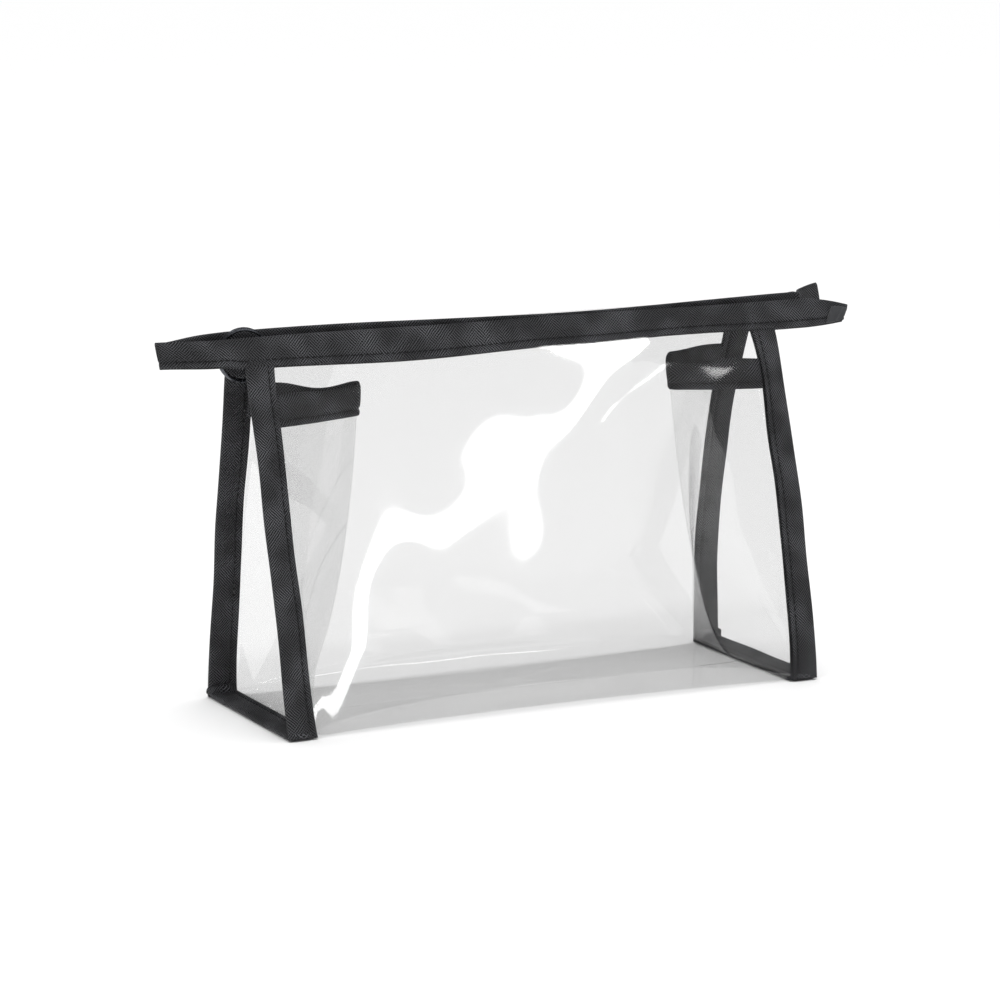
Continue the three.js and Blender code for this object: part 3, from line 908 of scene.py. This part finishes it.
def gusset_binding(context, side, face):
    """Half of the folded tape over a gusset's top edge, carried along the hairpin."""
    sizes = context.scene.bag_sizes
    foot = GUSSET_TOP - TAPE_WIDTH
    count, bend = 40, 12
    *low, (mid_low,) = gusset_path(sizes, side, foot, count, bend)
    *high, (mid_high,) = gusset_path(sizes, side, foot + TAPE_WIDTH, count, bend)
    line = (np.stack(low) + np.stack(high)) / 2
    steps = np.hypot(*np.diff(line, axis=1))
    lengths = np.concatenate([[0], np.cumsum(steps)])
    along_line = np.gradient(line, lengths, axis=1)

    def place(s, along, across):
        s, along, across = np.broadcast_arrays(s, along, across)
        shape = s.shape
        flat_s, flat_along = s.ravel(), along.ravel()
        share = flat_along / TAPE_WIDTH
        spot = []
        for row_low, row_high in zip(low, high):
            here = np.interp(flat_s, lengths, row_low) * (1 - share)
            spot.append(here + np.interp(flat_s, lengths, row_high) * share)
        spot[0] = spot[0] + np.minimum(flat_s, 0)  # past the seam it runs straight on
        way = np.stack([np.interp(flat_s, lengths, w) for w in along_line])
        way = way / np.hypot(*way)
        x = spot[0] - across.ravel() * way[1]
        y = spot[1] + across.ravel() * way[0]
        middle = mid_low * (1 - share) + mid_high * share
        bend_up = {"front": 0.4, "back": {"left": 1.3, "right": 0.3}[side]}[face] * MM
        wave = bend_up * np.sin(flat_s / (5.2 * MM)) * np.clip(share, 0, 1)
        if (side, face) == ("right", "back"):
            wave = wave + 3.0 * MM * smooth((lengths[-1] - flat_s) / (3.5 * MM))
        z = foot + flat_along + wave
        spot = np.stack([gusset_x(face, side, x, z), middle + FACES[face] * y, z], -1)
        return spot.reshape(shape + (3,))

    stations = np.linspace(0, 1, line.shape[1]) * (steps.sum() + 2 * MM) - 2 * MM
    replaced = [side + "_gusset_top_binding"] if face == "front" else []
    name = f"{side}_gusset_binding_{face}"
    return tape_strip(
        name, context, stations, place, TAPE_WIDTH, gusset_hold(side, face), replaced,
    )


# ---- Bindings along the flanges ----


def side_binding(context, face, side):
    """A side flange's folded tape, from the floor up into the zip band.

    Its fold is the flange's outer edge. It bows outwards at mid-height by a sine of its
    height, its raw edge is rolled in by another, and it thins near its top, where it goes in
    between the band's plies.
    """
    panel = PANELS[face]
    roll = FLANGE_ROLL[side]
    bottom = -panel.foot[2] / math.cos(panel.lean) + TAPE_THICKNESS / 2 * math.tan(panel.lean)
    top = panel.band_foot + 5 * MM
    stations = np.linspace(bottom + 0.2 * MM, top, 96)

    def place(s, along, across):
        s, along, across = np.broadcast_arrays(s, along, across)
        height = np.clip(s / panel.band_foot, 0, 1)
        rolled = roll * np.sin(math.pi * height) ** 0.5
        if (face, side) == ("front", "right"):
            rolled = rolled + 1.5 * MM * bell((height - 0.88) / 0.25)
        rolled = rolled * (1 - along / TAPE_WIDTH) + 0.2 * MM * np.sin(s / (9 * MM))
        x = SEAM[side] + SIDES[side] * (along + rolled) + flange_shift(face, side, s)
        thin = 1 - 0.42 * smooth((s - panel.band_foot + 2 * MM) / (3 * MM))
        ripple = 0.18 * MM * np.sin(s / (5.5 * MM) + along / (4 * MM))
        return panel.place(x, s, across * thin + ripple * np.sin(math.pi * height))

    name = f"{face}_{side}_binding"
    return tape_strip(
        name, context, stations, place, TAPE_WIDTH, face, [name], 0.5 * MM
    )


def bottom_binding(context, side):
    """A bottom flange's folded tape, flat on the floor between the side flanges."""
    low, high = span(side + "_bottom_binding")
    stations = np.linspace(low[1], high[1], 50)
    level = TAPE_THICKNESS / 2

    def place(s, along, across):
        s, along, across = np.broadcast_arrays(s, along, across)
        x = SEAM[side] + SIDES[side] * along
        lift = 0.12 * MM * (1 + np.sin(s / (6 * MM))) * along / TAPE_WIDTH
        return np.stack([x, s, level + across + lift], -1)

    name = side + "_bottom_binding"
    return tape_strip(
        name, context, stations, place, TAPE_WIDTH, "base", [name],
        0.4 * MM,
    )


def corner_fold(context, face, side):
    """Where two tapes meet at a bottom corner: the spare tape, bunched into a small pleated pad.

    A ball with its three axes eased towards a box, whose radius has pleats: a sine of twice
    the turn plus the rise, as of cloth gathered at one end.
    """
    panel = PANELS[face]
    rise, turn = np.meshgrid(
        np.linspace(-math.pi / 2, math.pi / 2, 21)[1:-1],
        np.arange(44) * math.pi / 22,
        indexing="ij",
    )
    pleat = 1 + 0.07 * np.sin(3 * turn + 2.5 * rise) + 0.05 * np.sin(7 * turn - 3 * rise)
    ball = np.stack([np.cos(rise) * np.cos(turn), np.cos(rise) * np.sin(turn), np.sin(rise)], -1)
    ball = np.sign(ball) * np.abs(ball) ** 0.7 * pleat[..., None]
    size = {"front": (4.9, 2.0, 1.5), "back": (5.5, 2.9, 2.5)}[face]
    centre = np.array(
        [
            SEAM[side] + SIDES[side] * 5.7 * MM,
            panel.foot[1] - panel.outward * {"front": 0.9, "back": 1.2}[face] * MM,
            {"front": 1.65, "back": 2.75}[face] * MM,
        ]
    )
    grid = centre + ball * np.array(size) * MM
    around = np.linspace(0, 2 * math.pi * size[0] * MM, 45)
    tape = finish("tape", context.scene.bag_colours)
    fold = tube_grid(f"{face}_{side}_corner_fold", grid, tape, around)
    attach(fold, "base")
    return fold


# ---- Zip bands ----


def band_path(face, x, height):
    """How a zip band leaves its face's plane at x and a height from 0 to 1, as a move.

    The left tails close on each other, droop and end on a slant. The top of the front band's
    free end sinks and its foot lifts and ends short, and the back band's flares out and up
    past a sharp crease.
    """
    inward = -FACES[face]
    tail = smooth((LEFT_EDGE - 10 * MM - x) / (LEFT_EDGE - 8 * MM - TAIL_TIP))
    panel = PANELS[face]
    z = panel.foot[2] + (panel.band_foot + height * panel.band) * math.cos(panel.lean)
    gap = PANELS["back"].y_at(z) - PANELS["front"].y_at(z)
    close = tail * (gap - TAPE_THICKNESS) / 2
    away = np.clip((LEFT_EDGE - x) / (LEFT_EDGE - TAIL_TIP), 0, 1)
    short = {"front": 0.1, "back": 2.6}[face] * MM * away + 1.5 * MM * (1 - height) * away
    droop = {"front": -0.2, "back": -1.7 * height}[face] * MM * away**1.4
    droop = droop + 1.1 * MM * (1 - height) * smooth(4 * away)
    if face == "front":
        sag = 1.3 * bell((x + 50 * MM) / (62 * MM)) - bell((x - 70 * MM) / (42 * MM))
        droop = droop - sag * (1 - height) * MM
    else:
        droop = droop - 1.7 * MM * bell((x - 28 * MM) / (95 * MM))
    free = np.clip((x - RIGHT_EDGE - 13 * MM) / (BAND_END[face] - RIGHT_EDGE - 13 * MM), 0, None)
    if face == "front":
        sink = 3.6 * MM * height - 1.2 * MM * (1 - height)
        short = short - (1.3 + 3.4 * (1 - height)) * MM * free**1.5
        return np.stack([short, inward * close, droop - sink * free**1.6], -1)
    crease = bell((free - 0.32) / 0.09)
    rise = np.clip((free - 0.14) / 0.86, 0, None)
    short = short + (2.4 * (1 - height) - 0.6 * height) * MM * rise
    out = inward * close + 4.4 * MM * smooth(rise) - 2.2 * MM * crease
    return np.stack([short, out, droop + 2.3 * MM * rise - 0.4 * MM * crease], -1)


def band_hold(face):
    """Ends of a blend by which a band would stay joined at the tails' tip and follow its face from
    the flange on.
    """
    tip = np.array([TAIL_TIP + 2 * MM, 0, 0])
    return ("base", face, tip, np.array([LEFT_EDGE + 6 * MM, 0, 0]))


def zip_band(context, face):
    """The folded tape along the top of a face, from the joined tails to its free end."""
    panel = PANELS[face]
    stations = np.linspace(TAIL_TIP, BAND_END[face], 230)

    def place(s, along, across):
        s, along, across = np.broadcast_arrays(s, along, across)
        move = band_path(face, s, np.clip(along / panel.band, 0, 1))
        ripple = 0.2 * MM * np.sin(s / (13 * MM) + along / (5 * MM))
        spot = panel.place(s, panel.band_foot + along, across + ripple) + move
        return spot + 0.12 * MM * np.sin(s / (17 * MM))[..., None] * Z_AXIS

    name = face + "_zip_band"
    return tape_strip(
        name, context, stations, place, panel.band, band_hold(face), [name],
        0.5 * MM,
    )


def band_hem(context):
    """The front band's free end, turned over on itself so that the tape's back shows.

    A thin rounded patch: a grid of shares along and across the band, whose left edge slants
    and whose lower right corner is round.
    """
    sizes, colours = context.scene.bag_sizes, context.scene.bag_colours
    panel = PANELS["front"]
    long, tall = np.meshgrid(np.linspace(0, 1, 24), np.linspace(0, 1, 18), indexing="ij")
    start = BAND_END["front"] - 9.5 * MM
    corner = 2.6 * MM * long**3 * (1 - tall) ** 2
    x = start - 1.4 * MM + 3.0 * MM * tall * (1 - long) + long * 10.6 * MM - corner
    up = panel.band_foot + 0.2 * MM + tall * (panel.band - 2.8 * MM)
    crinkle = np.sin(math.pi * tall) * long + 0.7 * bell((long - 0.45 - 0.2 * tall) / 0.14)
    out = sizes.tape / 2 + (0.25 + 0.35 * crinkle) * MM
    height = (up - panel.band_foot) / panel.band
    spot = panel.place(x, up, out) + band_path("front", x, height)
    hem = sheet_grid("front_band_hem", spot, finish("backing", colours))
    uv = hem.data.uv_layers.new(name="cloth")
    index = np.empty(len(hem.data.loops), int)
    hem.data.loops.foreach_get("vertex_index", index)
    flat = np.stack([x.ravel(), up.ravel()], -1)[index]
    uv.data.foreach_set("uv", flat.astype(np.float32).ravel())
    thicken(hem, 0.7 * MM)
    attach(hem, "front")
    return hem


# ---- Zip ----


def zip_hold(face):
    """Ends of a blend by which the zip's left end would stay at the slider's rest and the rest of
    it follow its face.
    """
    start = np.array([COIL_LOW[0], 0, 0])
    return ("base", face, start, start + 24 * MM * X_AXIS)


def zip_tape(context, face):
    """Woven tape from under its coil to its band: a flat run, a bend and a run down the band.

    The section is an L with a quarter circle at its corner, thick by the same amount
    everywhere, carried along the zip's line.
    """
    colours = context.scene.bag_colours
    low, high = span(face + "_zip_tape")
    coil_low, coil_high = span(face + "_zip_coil")
    thickness, radius = 0.5 * MM, 1.1 * MM
    side = FACES[face]
    inner = (coil_low[1] + coil_high[1]) / 2 - side * 0.5 * MM
    outer = low[1] if face == "front" else high[1]
    level = coil_low[2]
    reach = abs(outer - inner) - thickness / 2
    turn = np.linspace(0, math.pi / 2, 7)
    flat_run = np.stack([np.linspace(0, reach - radius, 6), np.zeros(6)], -1)
    bend = np.stack([reach - radius + radius * np.sin(turn), radius * (np.cos(turn) - 1)], -1)
    down = np.linspace(0, level - radius - low[2], 6)[1:]
    wall = np.stack([reach - down * math.tan(PANELS[face].lean) * 0.5, -radius - down], -1)
    line = np.concatenate([flat_run, bend[1:], wall])
    normal = unit(np.gradient(line, axis=0)) @ np.array([[0, 1], [-1, 0]])
    outline = np.concatenate([line + normal * thickness / 2, (line - normal * thickness / 2)[::-1]])
    x = np.linspace(low[0], high[0], 160)
    grid = np.empty((len(x), len(outline), 3))
    grid[..., 0] = x[:, None]
    grid[..., 1] = inner + side * outline[None, :, 0]
    grid[..., 2] = level + outline[None, :, 1] + 0.04 * MM * np.sin(x / (8 * MM))[:, None]
    steps = np.linalg.norm(np.diff(outline, axis=0, append=outline[:1]), axis=1)
    around = np.concatenate([[0], np.cumsum(steps)])
    name = face + "_zip_tape"
    tape = tube_grid(name, grid, finish("webbing", colours), around)
    attach(tape, zip_hold(face))
    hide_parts(name)
    # the strip that shows is about 7.5 mm wide, and 10 mm is the least that a sheet may say
    return tape


def coil(name, context, low, high, phase, hold, replaced):
    """A nylon coil in a box: a flattened helix, with a round wire of six sides.

    The helix's height and width are a sine and a cosine of its turn, and it moves on by the
    pitch each turn.
    """
    sizes, colours = context.scene.bag_sizes, context.scene.bag_colours
    wire = sizes.coil_wire
    turns = (high[0] - low[0] - wire) / sizes.coil_pitch
    turn = np.arange(0, turns * 12) * math.pi / 6
    middle, half = (low + high) / 2, (high - low) / 2 - wire / 2
    path = np.stack(
        [
            low[0] + wire / 2 + sizes.coil_pitch * turn / (2 * math.pi),
            middle[1] + half[1] * np.cos(turn + phase),
            middle[2] + half[2] * np.sin(turn + phase),
        ],
        -1,
    )
    grid = carried(path, oval(wire, wire, 6), X_AXIS)
    made = tube_grid(name, grid, finish("nylon", colours))
    attach(made, hold)
    if replaced:
        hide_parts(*replaced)
    return made


def pressed_stop(name, context, hold):
    """A pressed metal stop: a pillow whose three axes are cosines raised to a low power."""
    low, high = span(name)
    middle, half = (low + high) / 2, (high - low) / 2
    rise, turn = np.meshgrid(
        np.linspace(-math.pi / 2, math.pi / 2, 15)[1:-1],
        np.arange(28) * math.pi / 14,
        indexing="ij",
    )
    power = 0.35

    def eased(values):
        return np.sign(values) * np.abs(values) ** power

    girth = eased(np.cos(rise))
    shape = np.stack(
        [girth * eased(np.cos(turn)), girth * eased(np.sin(turn)), eased(np.sin(rise))], -1
    )
    metal = finish("metal", context.scene.bag_colours)
    piece = tube_grid(name + "_clamp", middle + shape * half, metal)
    attach(piece, hold)
    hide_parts(name)
    return piece


def plate_grid(outline, low, high, ease):
    """Rings of an outline from low to high, drawn in by a quarter circle at both faces."""
    turn = np.linspace(0, math.pi / 2, 5)
    level = np.concatenate(
        [low + ease * (1 - np.cos(turn)), high - ease * (1 - np.cos(turn[::-1]))]
    )
    inset = np.concatenate([ease * (1 - np.sin(turn)), ease * (1 - np.sin(turn[::-1]))])
    centre = outline.mean(0)
    arm = outline - centre
    shrunk = centre + arm[None] * (1 - inset[:, None, None] / np.abs(arm).max(0))
    heights = np.broadcast_to(level[:, None, None], shrunk.shape[:2] + (1,))
    return np.concatenate([shrunk, heights], -1)


def slider(context):
    """The zip slider: two plates on a post, side lips, and an arched bridge for the loop.

    A plate's outline narrows from the shoulders to the nose: its half width is a mix of the
    two by the distance along, rounded off at both ends by a superellipse.
    """
    colours = context.scene.bag_colours
    metal = finish("metal", colours)
    middle, half = (SLIDER_LOW + SLIDER_HIGH) / 2, (SLIDER_HIGH - SLIDER_LOW) / 2
    shape = oval(2, 2, 48, 3.4)
    narrow = 1 - 0.27 * (1 - shape[:, 0]) / 2
    outline = middle[:2] + half[:2] * shape * np.stack([np.ones_like(narrow), narrow], -1)
    plate = 0.9 * MM
    channel_top = ZIP_LEVEL + 2.4 * MM
    floor = SLIDER_LOW[2]
    right = SLIDER_HIGH[0] - 0.4 * MM
    left = SLIDER_LOW[0] + 1.2 * MM
    bar_top = SLIDER_HIGH[2] - 0.7 * MM
    grids = {
        "top_plate": plate_grid(outline, channel_top, channel_top + plate, 0.3 * MM),
        "bottom_plate": plate_grid(outline, floor, floor + plate, 0.3 * MM),
        "post": plate_grid(
            np.array([right - 1.2 * MM, middle[1]]) + oval(2.4 * MM, 1.6 * MM, 20, 4),
            floor + plate / 2, channel_top + plate / 2, 0.05 * MM,
        ),
    }
    foot = channel_top + plate / 2
    arch_turn = np.linspace(math.pi, 0, 33)
    arch = np.sign(np.cos(arch_turn)) * np.abs(np.cos(arch_turn)) ** 0.5
    crown = np.abs(np.sin(arch_turn)) ** 0.5
    bar = 1.0 * MM
    path = np.stack(
        [
            (left + right) / 2 + arch * (right - left - bar) / 2,
            np.full(33, middle[1]),
            foot + crown * (bar_top - bar / 2 - foot),
        ],
        -1,
    )
    grids["bridge"] = carried(path, oval(bar, 1.7 * MM, 16, 3), Y_AXIS)
    for part, grid in grids.items():
        piece = tube_grid("slider_" + part, grid, metal)
        attach(piece, "slider")
        if part == "top_plate":
            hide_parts("zip_slider")


def pull_loop(context):
    """The wire loop on the slider's bridge: a round wire bent to a rounded rectangle."""
    low, high = span("pull_loop")
    swing = joint("loop_flip")
    pivot = np.array(swing["pos_m"])
    reach = np.hypot(high[0] - pivot[0], pivot[2] - low[2] - 0.5 * MM) - 0.6 * MM
    droop = math.atan2(pivot[2] - low[2] - 0.5 * MM, high[0] - pivot[0])
    wire = 1.0 * MM
    shape = oval(reach, high[1] - low[1] - wire, 64, 4.5)
    way = np.array([math.cos(droop), 0, -math.sin(droop)])
    path = pivot + (shape[:, :1] + reach / 2) * way + shape[:, 1:] * Y_AXIS
    grid = carried(path, oval(wire, wire, 12), np.cross(way, Y_AXIS), closed=True)
    metal = finish("metal", context.scene.bag_colours)
    piece = tube_grid("pull_loop_wire", grid, metal, capped=False)
    attach(piece, "loop")
    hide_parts("pull_loop")
    return piece


def split_ring(context):
    """The split ring: flat wire wound twice round, crossing over itself once.

    Its turns lie side by side. The wire's middle steps across by a smooth step as it comes
    round to its start, so both of its ends lie flat beside the crossing.
    """
    sizes = context.scene.bag_sizes
    low, high = span("pull_ring")
    middle = (low + high) / 2
    wide = high[1] - low[1]
    radius = (high[0] - low[0]) / 2 - sizes.ring_wire / 2
    turn = np.linspace(0.1 * math.pi, 3.9 * math.pi, 220)
    side = (smooth((turn - 1.8 * math.pi) / (0.4 * math.pi)) - 0.5) * wide / 2
    start = math.radians(-60)
    path = middle + np.stack(
        [radius * np.cos(turn + start), side, radius * np.sin(turn + start)], -1
    )
    section = oval(sizes.ring_wire, wide / 2 - 0.02 * MM, 14, 2.6)
    metal = finish("metal", context.scene.bag_colours)
    piece = tube_grid("split_ring", carried(path, section, Y_AXIS), metal)
    attach(piece, "ring")
    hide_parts("pull_ring")
    return piece


# ---- Stage ----

CAMERA_AZIMUTH = -26.51
CAMERA_ELEVATION = 10.79
CAMERA_DISTANCE = 1.44
CAMERA_LENS = 140.3
CAMERA_TARGET = (-8.4 * MM, 0.0, 72.1 * MM)


def area_light(name, size, energy, azimuth, elevation, distance, roll=0.0, mirrored=True):
    """A softbox that faces the bag, from an azimuth as the camera's, rolled about its beam.

    One that isn't mirrored lights matte finishes only, so that it lays no haze on the film.
    """
    lamp = bpy.data.lights.new(name, "AREA")
    lamp.shape = "RECTANGLE"
    lamp.size, lamp.size_y = size
    lamp.energy = energy
    light = bpy.data.objects.new(name, lamp)
    bpy.context.scene.collection.objects.link(light)
    away = direction(azimuth, elevation)
    light.location = Vector(CAMERA_TARGET) + away * distance
    light.rotation_mode = "QUATERNION"
    light.visible_glossy = mirrored
    turn = Quaternion(away, math.radians(roll))
    light.rotation_quaternion = turn @ (-away).to_track_quat("-Z", "Y")
    return light


def direction(azimuth, elevation):
    """From the bag towards a camera at this azimuth and elevation, in degrees."""
    a, e = math.radians(azimuth), math.radians(elevation)
    return Vector((math.sin(a) * math.cos(e), -math.cos(a) * math.cos(e), math.sin(e)))


def white_world(scene):
    """White where it is looked at, softer as a light, and dim where a glossy finish mirrors it."""
    world = bpy.data.worlds.new("white_studio")
    world.use_nodes = True
    tree = world.node_tree
    tree.nodes.clear()
    seen = add_node(tree, "ShaderNodeBackground", {"Color": (1, 1, 1, 1), "Strength": 1.05})
    path = add_node(tree, "ShaderNodeLightPath")
    dim = add_node(
        tree, "ShaderNodeMapRange",
        {"Value": path.outputs["Is Glossy Ray"], "To Min": 0.68, "To Max": 0.16},
    )
    lighting = add_node(
        tree, "ShaderNodeBackground", {"Color": (1, 1, 1, 1), "Strength": dim.outputs[0]}
    )
    mixed = add_node(
        tree, "ShaderNodeMixShader",
        {0: path.outputs["Is Camera Ray"], 1: lighting.outputs[0], 2: seen.outputs[0]},
    )
    add_node(tree, "ShaderNodeOutputWorld", {"Surface": mixed.outputs[0]})
    scene.world = world


def paper_floor(colours):
    """Seamless matte paper, one even white: a plain backdrop, and no part of the bag."""
    made, tree = material_tree("seamless_white_paper")
    if tree is None:
        return made
    skin = add_node(
        tree, "ShaderNodeBsdfPrincipled",
        {"Base Color": tuple(colours.floor), "Roughness": 0.9, "Specular IOR Level": 0.1},
    )
    add_node(tree, "ShaderNodeOutputMaterial", {"Surface": skin.outputs[0]})
    return made


def stage(context):
    """The paper floor, the lamps, the white surroundings and the camera."""
    scene, colours = context.scene, context.scene.bag_colours
    reach = 6.0
    corners = reach * np.array([[-1, -1, 0], [1, -1, 0], [1, 1, 0], [-1, 1, 0]])
    floor = new_piece("paper_floor", corners, [[0, 1, 2, 3]], paper_floor(colours))
    white_world(scene)
    sky = bpy.data.lights.new("overhead_silk", "SUN")
    sky.energy, sky.angle = 1.5, math.radians(70)
    overhead = bpy.data.objects.new("overhead_silk", sky)
    scene.collection.objects.link(overhead)
    overhead.rotation_euler = (math.radians(-14), math.radians(12), 0)
    overhead.visible_glossy = False
    area_light("left_softbox", (0.35, 0.9), 1.5, -70, 30, 1.5, mirrored=False)
    area_light("right_strip", (0.055, 0.9), 1.1, 25, 18, 1.5, roll=-38)
    area_light("right_leaf", (0.014, 0.038), 0.008, 33.7, 20.1, 1.5, roll=-45)
    area_light("top_strip", (0.9, 0.2), 4, -10, 62, 1.5)
    camera = bpy.data.objects.new("camera", bpy.data.cameras.new("camera"))
    scene.collection.objects.link(camera)
    away = direction(CAMERA_AZIMUTH, CAMERA_ELEVATION)
    camera.location = Vector(CAMERA_TARGET) + away * CAMERA_DISTANCE
    camera.rotation_mode = "QUATERNION"
    camera.rotation_quaternion = (-away).to_track_quat("-Z", "Y")
    camera.data.lens = CAMERA_LENS
    camera.data.clip_start = 0.01
    scene.camera = camera
    scene.view_settings.view_transform = "Standard"
    scene.cycles.transparent_max_bounces = 32  # each wall of film is two skins


# ---- Operators ----


class BAG_OT_stage(bpy.types.Operator):
    """Adds the paper floor, the softboxes, the white surroundings and the camera"""

    bl_idname = "makeup_bag.stage"
    bl_label = "Stage"
    bl_options = {"REGISTER", "UNDO"}

    def execute(self, context):
        stage(context)
        return {"FINISHED"}


class BAG_OT_film(bpy.types.Operator):
    """Makes the film that wraps the front, the bottom and the back"""

    bl_idname = "makeup_bag.film"
    bl_label = "Film Wrap"
    bl_options = {"REGISTER", "UNDO"}

    def execute(self, context):
        for face in FACES:
            film_half(context, face)
        return {"FINISHED"}


class BAG_OT_gussets(bpy.types.Operator):
    """Makes the two in-folding gussets and the folded tape over their top edges"""

    bl_idname = "makeup_bag.gussets"
    bl_label = "Gussets"
    bl_options = {"REGISTER", "UNDO"}

    def execute(self, context):
        for side in SIDES:
            for face in FACES:
                gusset_film(context, side, face)
                gusset_binding(context, side, face)
        return {"FINISHED"}


class BAG_OT_side_bindings(bpy.types.Operator):
    """Makes the four folded tapes up the side flanges"""

    bl_idname = "makeup_bag.side_bindings"
    bl_label = "Side Bindings"
    bl_options = {"REGISTER", "UNDO"}

    def execute(self, context):
        for face in FACES:
            for side in SIDES:
                side_binding(context, face, side)
        return {"FINISHED"}


class BAG_OT_bottom_bindings(bpy.types.Operator):
    """Makes the two folded tapes along the bottom flanges and the folds at their corners"""

    bl_idname = "makeup_bag.bottom_bindings"
    bl_label = "Bottom Bindings"
    bl_options = {"REGISTER", "UNDO"}

    def execute(self, context):
        for side in SIDES:
            for face in FACES:
                corner_fold(context, face, side)
            bottom_binding(context, side)
        return {"FINISHED"}


class BAG_OT_zip_bands(bpy.types.Operator):
    """Makes the two zip bands and the turned-over end of the front one"""

    bl_idname = "makeup_bag.zip_bands"
    bl_label = "Zip Bands"
    bl_options = {"REGISTER", "UNDO"}

    def execute(self, context):
        band_hem(context)
        for face in FACES:
            zip_band(context, face)
        return {"FINISHED"}


class BAG_OT_zip(bpy.types.Operator):
    """Makes the zip tapes, the coils, the closed end of the chain and the stops"""

    bl_idname = "makeup_bag.zip"
    bl_label = "Zip"
    bl_options = {"REGISTER", "UNDO"}

    def execute(self, context):
        for face in FACES:
            zip_tape(context, face)
            low, high = span(face + "_zip_coil")
            coil(face + "_coil", context, low, high, 0.0, zip_hold(face), [face + "_zip_coil"])
            pressed_stop(face + "_top_stop", context, face)
        low, high = span("zip_chain_end")
        overlap = 0.35 * MM
        front_high = np.array([high[0], ZIP_LINE + overlap, high[2]])
        back_low = np.array([low[0], ZIP_LINE - overlap, low[2]])
        coil("chain_end_front", context, low, front_high, 0.0, "base", ["zip_chain_end"])
        coil("chain_end_back", context, back_low, high, math.pi / 2, "base", [])
        pressed_stop("zip_bottom_stop", context, "base")
        return {"FINISHED"}


class BAG_OT_slider(bpy.types.Operator):
    """Makes the zip slider"""

    bl_idname = "makeup_bag.slider"
    bl_label = "Slider"
    bl_options = {"REGISTER", "UNDO"}

    def execute(self, context):
        slider(context)
        return {"FINISHED"}


class BAG_OT_pull(bpy.types.Operator):
    """Makes the wire loop and the split ring that pull the slider"""

    bl_idname = "makeup_bag.pull"
    bl_label = "Pull Loop and Ring"
    bl_options = {"REGISTER", "UNDO"}

    def execute(self, context):
        pull_loop(context)
        split_ring(context)
        return {"FINISHED"}


OPERATORS = (
    BAG_OT_stage,
    BAG_OT_film,
    BAG_OT_gussets,
    BAG_OT_side_bindings,
    BAG_OT_bottom_bindings,
    BAG_OT_zip_bands,
    BAG_OT_zip,
    BAG_OT_slider,
    BAG_OT_pull,
)


class BAG_PT_panel(bpy.types.Panel):
    """Lists the bag's sizes, its colours and the operators that make its pieces"""

    bl_idname = "BAG_PT_panel"
    bl_label = "Clear Makeup Bag"
    bl_space_type = "VIEW_3D"
    bl_region_type = "UI"
    bl_category = "Makeup Bag"

    def draw(self, context):
        for group in (context.scene.bag_sizes, context.scene.bag_colours):
            box = self.layout.box()
            for name in group.__annotations__:
                box.prop(group, name)
        for operator in OPERATORS:
            self.layout.operator(operator.bl_idname)


CLASSES = (BagSizes, BagColours, *OPERATORS, BAG_PT_panel)


def register():
    for cls in CLASSES:
        bpy.utils.register_class(cls)
    bpy.types.Scene.bag_sizes = bpy.props.PointerProperty(type=BagSizes)
    bpy.types.Scene.bag_colours = bpy.props.PointerProperty(type=BagColours)


def unregister():
    del bpy.types.Scene.bag_colours
    del bpy.types.Scene.bag_sizes
    for cls in reversed(CLASSES):
        bpy.utils.unregister_class(cls)


def main():
    register()
    bpy.ops.makeup_bag.stage()
    bpy.ops.makeup_bag.film()
    bpy.ops.makeup_bag.gussets()
    bpy.ops.makeup_bag.side_bindings()
    bpy.ops.makeup_bag.bottom_bindings()
    bpy.ops.makeup_bag.zip_bands()
    bpy.ops.makeup_bag.zip()
    bpy.ops.makeup_bag.slider()
    bpy.ops.makeup_bag.pull()


if __name__ == "__main__":
    main()
